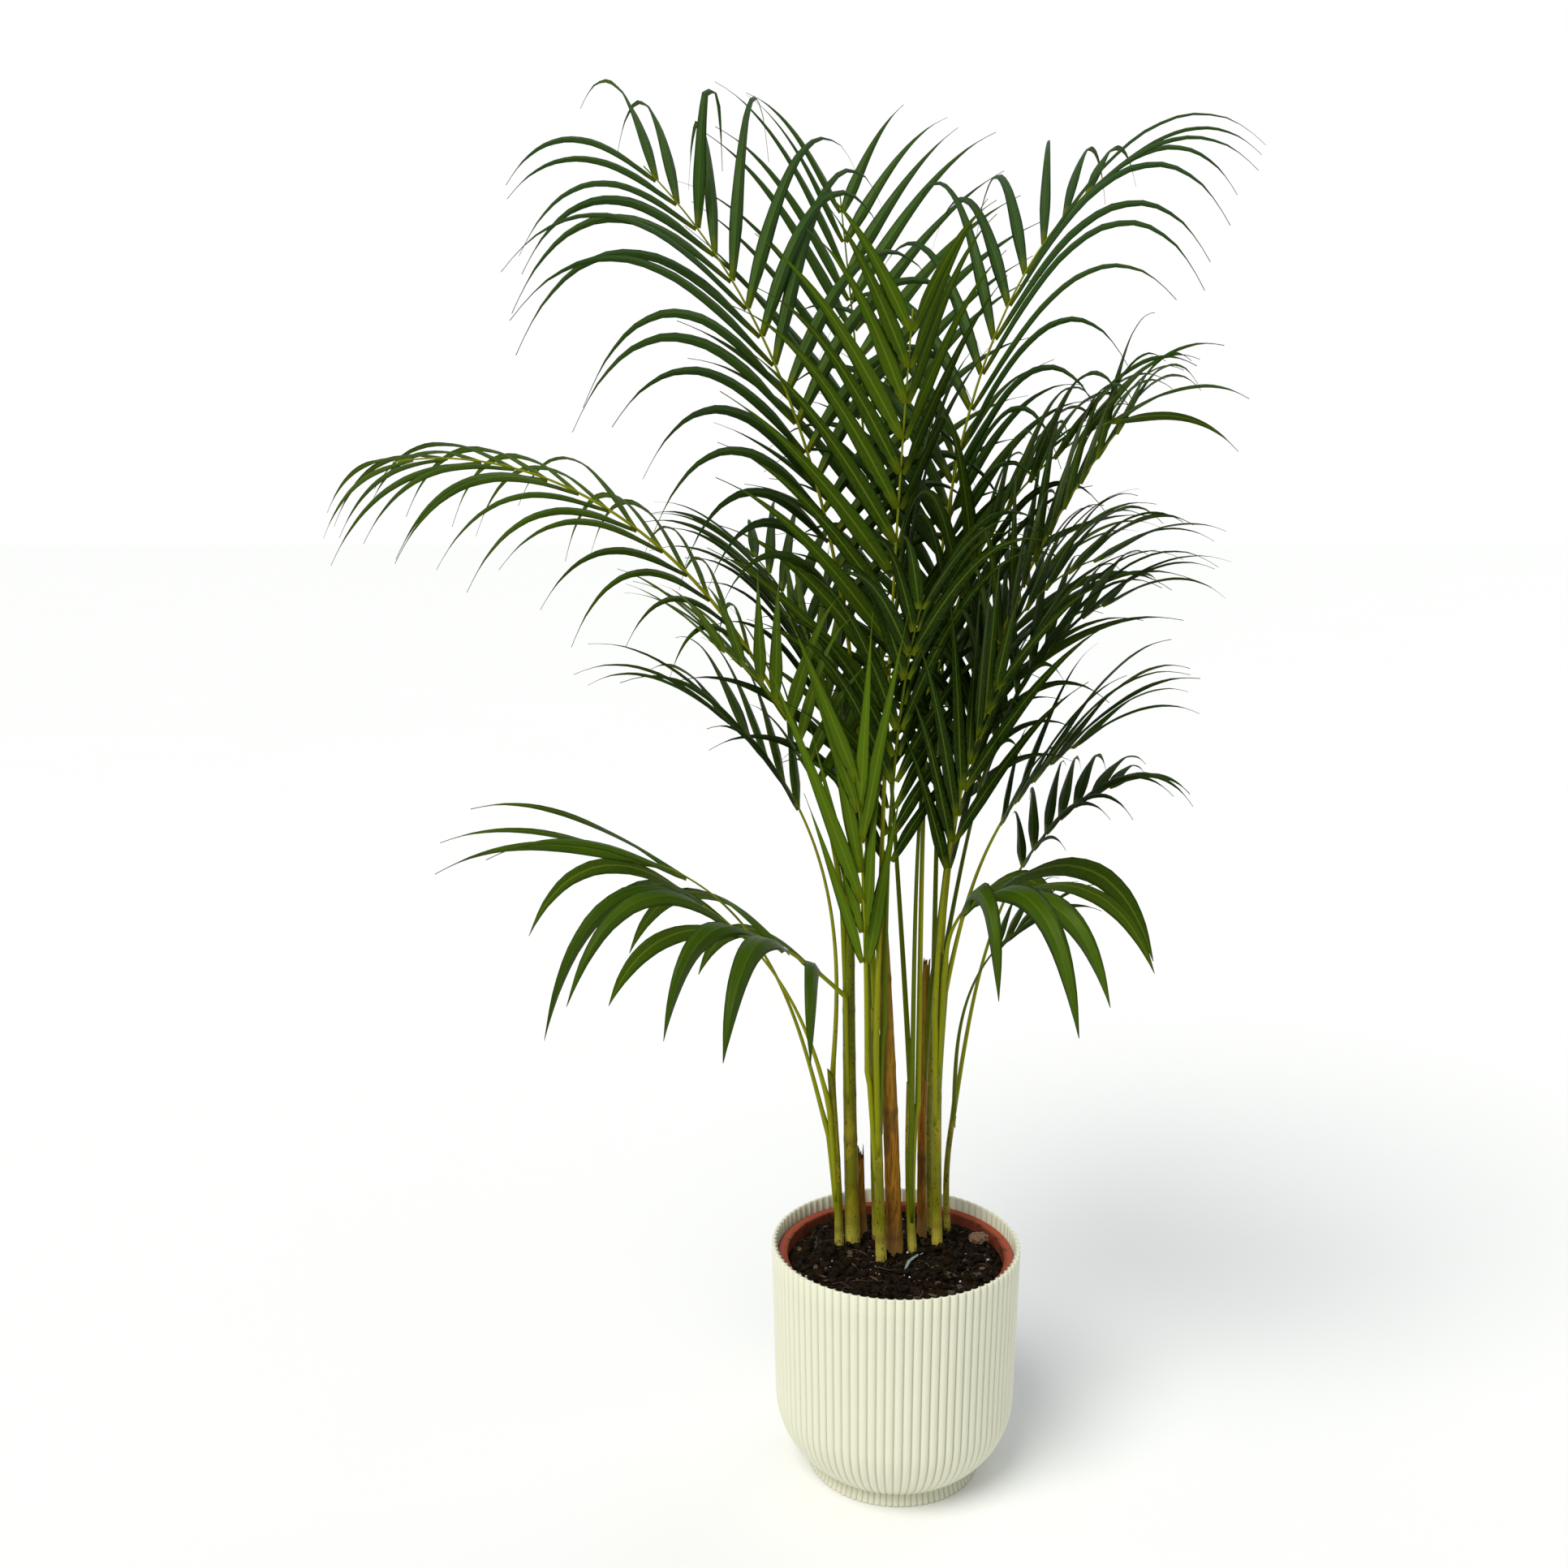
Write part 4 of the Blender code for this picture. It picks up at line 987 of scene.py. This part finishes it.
def cane_room(cane):
    """The space a cane takes, as plain rings."""
    turns = [math.tau * (k + 0.5) / ROOM_SIDES for k in range(ROOM_SIDES)]
    steps = max(3, round(cane.height / ROOM_RING_STEP))
    stations = [(cane_foot(cane) - (0, 0, SOCKET_DEPTH - GAP), cane_radius(cane, 0.0))]
    stations += [(cane_centre(cane, k / steps), cane_radius(cane, k / steps)) for k in range(steps + 1)]
    points = [middle + radius * np.array([math.cos(turn), math.sin(turn), 0])
              for middle, radius in stations for turn in turns]
    faces = bands(len(stations), ROOM_SIDES)
    faces += [tuple(range(ROOM_SIDES)), tuple(range(len(points) - ROOM_SIDES, len(points)))]
    return points, faces


def stem_room(line, extra):
    """The space a bare petiole and rachis take, with a pointed tip."""
    bare, pairs = line.shares()
    points = []
    for share in bare + [share for pair in pairs for share in pair]:
        points += line.corners(share, extra)
    last = len(points) - 4
    faces = bands(len(points) // 4, 4) + [(0, 1, 2, 3)]
    faces += [(last + a, last + (a + 1) % 4, last + 4) for a in range(4)]
    return points + [line.at(1.0)[0]], faces


def place_stem(frond, placed):
    """Moves the frond's foot round its cane, then swings its heading, until the stem is clear."""
    for swing in outward(3, 60):
        for side in outward(20, 160 if frond.rise < 1.0 else 0):
            line = Line(frond, side, swing)
            if placed.hits(*stem_room(line, LEAFLET_CLEARANCE)) == 0:
                placed.add(frond.name, *stem_room(line, 0.0))
                return line
    raise ValueError(f"{frond.name} finds no clear way up from its cane")


def courses():
    """The ways a leaflet may go, best first: how much shorter, more or less fanned, and swung up."""
    for shorter in (1.0, 0.85, 0.7, 0.55, 0.4, 0.25):
        for fanned in (0, -8, 8, -16):
            for swing in outward(4, 40):
                yield shorter, fanned, swing


def place_leaflet(line, pair, hand, placed):
    """Turns the leaflet, then shortens it, until it is clear of everything but its own base."""
    name = line.frond.name
    for course in courses():
        test = leaflet_room(line, pair, hand, course, LEAFLET_CLEARANCE)
        past_base = [b + (c - b) * OWN_BASE_SHARE for b, c in zip(test[:4], test[4:8])] + test[4:]
        cut = placed.hits(past_base, ROOM_FACES, mine=name) or placed.hits(test, ROOM_FACES, others=name)
        if not cut:
            placed.add(name, leaflet_room(line, pair, hand, course, 0.0), ROOM_FACES)
            return course
    return None


def leaf_upper():
    """The glossy upper side: fine veins along it, a paler midrib, a pale base and a dried tip.
    Higher up it is painted a cooler green: a painted reflection of the open sky on the top leaves."""
    finish = Finish("leaf_upper", Roughness=0.42, IOR=1.45, Specular_IOR_Level=0.22,
                    Specular_Tint=(0.85, 1.0, 0.35, 1))
    across, along, tone = finish.noted("across"), finish.noted("along"), finish.noted("tone")
    tint = finish.mix(tone, (0.0048, 0.0180, 0.0006), (0.092, 0.170, 0.0025))
    tint = finish.mix(finish.steps(finish.cloud(0.05), 0.4, 0.7, 0.0, 0.45), tint, (0.0110, 0.036, 0.0030))
    # Painted reflection: leaves higher up are mixed towards a cool, sky-lit green.
    height = finish.node("ShaderNodeSeparateXYZ", Vector=finish.place()).outputs["Z"]
    tint = finish.mix(finish.steps(height, 0.80, 1.10, 0.0, 0.55), tint, (0.022, 0.070, 0.020))
    down = finish.plus(finish.times(along, 2.0), finish.times(tone, 37.0))
    spot = finish.node("ShaderNodeCombineXYZ", X=finish.times(across, 11.0), Y=down)
    plane = {"noise_dimensions": "2D"}
    vein = finish.node("ShaderNodeTexNoise", plane, Vector=spot, Scale=1.0, Detail=2.0).outputs["Fac"]
    tint = finish.mix(finish.steps(vein, 0.50, 0.72, 0.0, 0.40), tint, (0.050, 0.115, 0.0040))
    middle = finish.steps(finish.maths("ABSOLUTE", across), 0.02, 0.13, 1.0, 0.0)
    tint = finish.mix(finish.times(middle, 0.28), tint, (0.095, 0.165, 0.006))
    tint = finish.mix(finish.steps(along, 0.0, 0.09, 0.85, 0.0), tint, (0.160, 0.200, 0.004))
    finish.colour(finish.mix(finish.steps(along, 0.965, 0.995), tint, (0.060, 0.045, 0.022)))
    finish.roughness(finish.steps(vein, 0.3, 0.7, 0.34, 0.48))
    finish.relief(vein, 0.0004)
    return finish.material


def leaf_under():
    """The duller, paler underside."""
    finish = Finish("leaf_underside", Roughness=0.58, IOR=1.42, Specular_IOR_Level=0.12,
                    Specular_Tint=(0.85, 1.0, 0.35, 1))
    across, along, tone = finish.noted("across"), finish.noted("along"), finish.noted("tone")
    tint = finish.mix(tone, (0.008, 0.024, 0.0014), (0.090, 0.160, 0.0050))
    middle = finish.steps(finish.maths("ABSOLUTE", across), 0.03, 0.16, 1.0, 0.0)
    tint = finish.mix(finish.times(middle, 0.6), tint, (0.150, 0.190, 0.010))
    tint = finish.mix(finish.steps(along, 0.0, 0.09, 0.85, 0.0), tint, (0.160, 0.195, 0.005))
    fine = finish.cloud(0.0012, (1, 1, 0.3))
    finish.colour(finish.mix(finish.steps(fine, 0.4, 0.7, 0.0, 0.3), tint, (0.070, 0.125, 0.010)))
    finish.relief(fine, 0.0002)
    return finish.material


def stalk_skin():
    """Petiole and rachis: yellow-green, with a waxy bloom and fine streaks."""
    finish = Finish("stalk_skin", Roughness=0.40, IOR=1.45, Specular_IOR_Level=0.18,
                    Specular_Tint=(1.0, 0.95, 0.35, 1))
    along, tone = finish.noted("along"), finish.noted("tone")
    streak = finish.cloud(0.0012, (1, 1, 0.08), detail=3.0)
    tint = finish.mix(streak, (0.230, 0.265, 0.003), (0.095, 0.130, 0.002))
    tint = finish.mix(finish.steps(along, 0.25, 0.95, 0.0, 0.70), tint, (0.085, 0.140, 0.004))
    tint = finish.mix(finish.times(tone, 0.5), tint, (0.340, 0.310, 0.006))
    tint = finish.mix(finish.steps(tone, 0.15, 0.45, 0.75, 0.0), tint, (0.050, 0.088, 0.002))
    specks = finish.steps(finish.cloud(0.0014, (1, 1, 0.5), detail=2.0), 0.66, 0.71, 0.0, 0.7)
    finish.colour(finish.mix(specks, tint, (0.022, 0.018, 0.008)))
    finish.relief(streak, 0.0003)
    return finish.material


leaf_finishes = [stalk_skin(), leaf_upper(), leaf_under()]

# Round a leaflet's section: across and up as shares of its half width, and thickness in metres.
SECTION = ((-1.0, -1.0, 0.00000), (-0.55, -0.50, 0.00016), (-0.10, -0.06, 0.00022),
           (0.0, 0.0, 0.00042), (0.10, -0.06, 0.00022), (0.55, -0.50, 0.00016),
           (1.0, -1.0, 0.00000), (0.55, -0.50, -0.00016), (0.0, 0.0, -0.00060), (-0.55, -0.50, -0.00016))
SECTION_TOP = 6              # the first faces of the section are the upper side
STALK, UPPER, UNDER = range(3)   # the order of the leaf's finishes


def blade_width(share, broad):
    """A leaflet's width over its length: pinched at the base, then a long taper to a thread. The
    broad leaflets of young fronds keep their width further down and end in a shorter point."""
    rise = 0.40 + 0.60 * np.sin(0.5 * np.pi * np.clip(share / 0.25, 0, 1))
    if broad:
        return rise * np.maximum(1 - np.clip((share - 0.40) / 0.60, 0, 1) ** 1.9, 0.05 - 0.02 * share)
    taper = 1 - np.clip((share - 0.20) / 0.74, 0, 1) ** 1.05
    return rise * np.maximum(taper, 0.075 - 0.03 * share)


class Growth:
    """Collects one frond's points, faces and notes."""

    def __init__(self):
        self.points, self.faces, self.finish = [], [], []
        self.across, self.along, self.tone = [], [], []

    def note(self, count, across, along, tone):
        self.across += list(np.broadcast_to(across, count))
        self.along += list(np.broadcast_to(along, count))
        self.tone += list(np.broadcast_to(tone, count))

    def rings(self, rings, finish_of_side):
        """Joins rings of equal count into a closed skin."""
        count = len(rings[0])
        first = len(self.points)
        for ring in rings:
            self.points += list(ring)
        last = first + (len(rings) - 1) * count
        self.faces += bands(len(rings), count, first)
        self.finish += [finish_of_side(a) for a in range(count)] * (len(rings) - 1)
        self.faces += [tuple(range(first, first + count)), tuple(range(last, last + count))]
        self.finish += [finish_of_side(0), finish_of_side(0)]


def grow_stalk(growth, line, tone):
    """The foot in the cane's top or along its side, the channelled petiole and the rachis."""
    frond = line.frond
    cane = CANE_BY_NAME[frond.cane]
    on_top = frond.rise >= 1.0
    turns = np.arange(STALK_SIDES) * math.tau / STALK_SIDES
    sheath = 0.022 if on_top else min(0.10, 0.75 * frond.rise * cane.height)
    _, _, left, up = line.at(0.0)
    side = math.radians(line.side)
    outside = np.array([math.cos(side), math.sin(side), 0.0])
    # Each station: its middle, left, up, radius and the depth of its channel.
    stations = []
    for k in range(SHEATH_RINGS, 0, -1):
        down = k / SHEATH_RINGS
        share = frond.rise - down * sheath / cane.height
        thick = cane_radius(cane, share)
        if on_top:
            off = 0.0
            reach = PETIOLE_RADIUS + (0.86 * thick - PETIOLE_RADIUS) * down ** 0.8
        else:
            off = thick + PETIOLE_RADIUS * (1.05 * (1 - down) ** 1.3 - 0.55 * down)
            reach = PETIOLE_RADIUS * (1 - 0.25 * down)
        stations.append((cane_centre(cane, share) + off * outside, left, up, max(reach, 0.0012), 0.0))
    for k in range(STALK_RINGS + 1):
        share = k / STALK_RINGS
        point, _, left, up = line.at(share)
        channel = 0.35 * np.clip(share / 0.05, 0, 1) * np.clip((frond.bare - share) / 0.08 + 1, 0, 1)
        stations.append((point, left, up, line.radius(share), channel))
    rings = []
    for k, (middle, left, up, reach, channel) in enumerate(stations):
        dip = 1 - channel * np.maximum(0, np.sin(turns)) ** 5
        sideways = np.outer(np.cos(turns) * reach, left)
        rings.append(middle + sideways + np.outer(np.sin(turns) * reach * dip, up))
        growth.note(STALK_SIDES, 0.0, max(0.0, (k - SHEATH_RINGS) / STALK_RINGS), tone)
    growth.rings(rings, lambda a: STALK)


def grow_leaflet(growth, line, pair, hand, course, tone, luck):
    """One leaflet: folded down from its midrib, slightly twisted, with a thread for a tip."""
    share = sum(pair) / 2
    wide = line.frond.wide
    points, ways, along, up = leaflet_line(line, share, hand, course)
    down = (np.arange(BLADE_RINGS + 1) / BLADE_RINGS) ** 0.95
    knots = np.arange(LEAFLET_STEPS + 1) / LEAFLET_STEPS
    middles = np.stack([np.interp(down, knots, points[:, k]) for k in range(3)], 1)
    way_knots = (np.arange(LEAFLET_STEPS) + 0.5) / LEAFLET_STEPS
    headings = np.stack([np.interp(down, way_knots, ways[:, k]) for k in range(3)], 1)
    size = course[0] ** 0.5 * (0.90 + 0.16 * luck.random())
    blade = (share - line.frond.bare) / (1 - line.frond.bare)
    half = 0.5 * wide * size * blade_width(down, wide > YOUNG_WIDTH) * (0.55 + 0.45 * leaflet_size(blade))
    twist = math.radians(luck.uniform(-38, 38))
    ripple = luck.uniform(0, 6)
    rings = []
    for k, v in enumerate(down):
        way = headings[k] / np.linalg.norm(headings[k])
        across, face = leaflet_frame(way, along, up)
        c, s = math.cos(twist * v ** 1.5), math.sin(twist * v ** 1.5)
        across, face = c * across + s * face, c * face - s * across
        fold = 0.30 + 0.55 * (1 - min(1.0, v / 0.16)) + 0.05 * math.sin(9 * v + ripple)
        shrink = min(1.0, half[k] / 0.002)
        rings.append([middles[k] + a * half[k] * across + (b * fold * half[k] + t * shrink) * face
                      for a, b, t in SECTION])
        growth.note(len(SECTION), [a for a, _, _ in SECTION], v, tone)
    growth.rings(rings, lambda a: UPPER if a < SECTION_TOP else UNDER)


SHADED_HEART_RADIUS = 0.22          # leaflets inside the clump, this near its middle and below the top, are painted darker: painted shade, where the clump's own leaves hide the light
SHADED_HEART_TOP = 0.90             # are old and the darkest

# How yellow-green a frond is painted, from 0 on a dark one to 1 on a bright one: partly the real colour
# of old and of newly opened fronds, partly painted shade on the dark inner fronds and painted light shining
# through the bright ones.
# The others, at the back and the right, are old ones that differ only by chance.
FRESHNESS_AND_LIGHT = {
    "frond_front_young": 0.80, "frond_left_inner": 0.60, "frond_left_low_front": 0.45,
    "frond_long_left": 0.30, "frond_low_left_upper": 0.30, "frond_low_left_middle": 0.35,
    "frond_low_left_lower": 0.45, "frond_low_right_fan": 0.45, "frond_top_left": 0.20,
    "frond_top_middle": 0.30, "frond_front_tall": 0.30, "frond_front_dark": 0.0,
    "frond_right_inner": 0.05, "frond_right_front": 0.0, "frond_front_right_arch": 0.15,
    "frond_low_right": 0.0,
}


def leaf_tone(fresh_and_lit, foot, chance):
    """A leaflet's tone from its frond's painted freshness, a chance share, and painted shade where it grows
    inside the clump.
    """
    # Painted shade: leaflets near the clump's middle and below its top are darkened.
    inside = max(0.0, 1 - math.hypot(foot[0], foot[1]) / SHADED_HEART_RADIUS) if foot[2] < SHADED_HEART_TOP else 0.0
    return min(1.0, max(0.0, fresh_and_lit + 0.25 * chance - 0.30 * inside))


def face_out(piece):
    turned = bmesh.new()
    turned.from_mesh(piece.data)
    bmesh.ops.recalc_face_normals(turned, faces=turned.faces)
    turned.to_mesh(piece.data)
    turned.free()


def frond_piece(line, placed, number):
    """One frond as one mesh: its stalk, and each leaflet that finds clear room."""
    luck = random.Random(100 + number)
    growth = Growth()
    frond = line.frond
    # Partly the frond's own age colour, partly painted shade and painted light through the leaves.
    fresh_and_lit = FRESHNESS_AND_LIGHT.get(frond.name, luck.uniform(0.0, 0.25))
    grow_stalk(growth, line, luck.random())
    for pair in line.shares()[1]:
        for hand in (1, -1):
            course = place_leaflet(line, pair, hand, placed)
            if course is not None:
                tone = leaf_tone(fresh_and_lit, line.at(sum(pair) / 2)[0], luck.random())
                grow_leaflet(growth, line, pair, hand, course, tone, luck)
    name = frond.name.replace("frond", "leaf")
    piece = piece_of(name, growth.points, growth.faces, leaf_finishes, [frond.name], growth.finish)
    face_out(piece)
    for key, values in (("across", growth.across), ("along", growth.along), ("tone", growth.tone)):
        note_on(piece, key, values)


placed = Placed()
for cane in CANES:
    placed.add("cane", *cane_room(cane))
lines = [place_stem(frond, placed) for frond in FRONDS]
for number, line in enumerate(lines):
    frond_piece(line, placed, number)

# --- Studio ----------------------------------------------------------------------------------
# A plain pale floor that runs out of sight under an even white surround, and one broad soft lamp
# far off, high on the left in front, with a weak soft one behind.

FLOOR_REACH = 60.0
CAMERA_PLACE = (-0.0996, -1.29, 0.841)
CAMERA_PITCH = math.radians(90 - 9.6)
CAMERA_LENS = 35.4           # mm, as is the sensor
CAMERA_SENSOR = 36.0


def floor_paint():
    finish = Finish("floor_paint", Roughness=0.8)
    finish.colour(finish.mix(finish.cloud(0.8), (0.90, 0.90, 0.895), (0.885, 0.885, 0.88)))
    return finish.material


def floor():
    corners = [(FLOOR_REACH * x, FLOOR_REACH * y, -0.0002) for x, y in ((-1, -1), (1, -1), (1, 1), (-1, 1))]
    mesh = bpy.data.meshes.new("floor")
    mesh.from_pydata(corners, [], [(0, 1, 2, 3)])
    mesh.materials.append(floor_paint())
    ground = bpy.data.objects.new("floor", mesh)
    bpy.context.scene.collection.objects.link(ground)


def far_lamp(name, place, strength, spread, colour):
    """A lamp far off in the direction of place, as wide as its spread in degrees."""
    light = bpy.data.lights.new(name, "SUN")
    light.energy = strength
    light.angle = math.radians(spread)
    light.color = colour
    stand = bpy.data.objects.new(name, light)
    stand.location = place
    stand.rotation_euler = (-Vector(place)).to_track_quat("-Z", "Y").to_euler()
    bpy.context.scene.collection.objects.link(stand)


def pale_surround():
    """White where it is seen, and dimmer as a light, so that the far lamp gives the plant its shape."""
    world = bpy.data.worlds.new("surround")
    world.use_nodes = True
    tree = world.node_tree
    seen = tree.nodes["Background"]
    seen.inputs["Color"].default_value = (1.0, 1.0, 1.0, 1)
    light = tree.nodes.new("ShaderNodeBackground")
    light.inputs["Color"].default_value = (0.93, 0.97, 1.0, 1)
    light.inputs["Strength"].default_value = 0.50
    mixed = tree.nodes.new("ShaderNodeMixShader")
    tree.links.new(tree.nodes.new("ShaderNodeLightPath").outputs["Is Camera Ray"], mixed.inputs[0])
    tree.links.new(light.outputs[0], mixed.inputs[1])
    tree.links.new(seen.outputs[0], mixed.inputs[2])
    tree.links.new(mixed.outputs[0], tree.nodes["World Output"].inputs["Surface"])
    bpy.context.scene.world = world


floor()
far_lamp("key_lamp", (-1.3, -1.5, 2.6), 2.4, 34, (1.0, 0.985, 0.94))
far_lamp("back_lamp", (1.6, 1.4, 1.8), 0.35, 40, (0.96, 0.99, 1.0))
pale_surround()
bpy.context.scene.view_settings.view_transform = "Standard"

camera = bpy.data.cameras.new("camera")
camera.lens = CAMERA_LENS
camera.sensor_width = CAMERA_SENSOR
tripod = bpy.data.objects.new("camera", camera)
tripod.location = CAMERA_PLACE
tripod.rotation_euler = (CAMERA_PITCH, 0, 0)
bpy.context.scene.collection.objects.link(tripod)
bpy.context.scene.camera = tripod
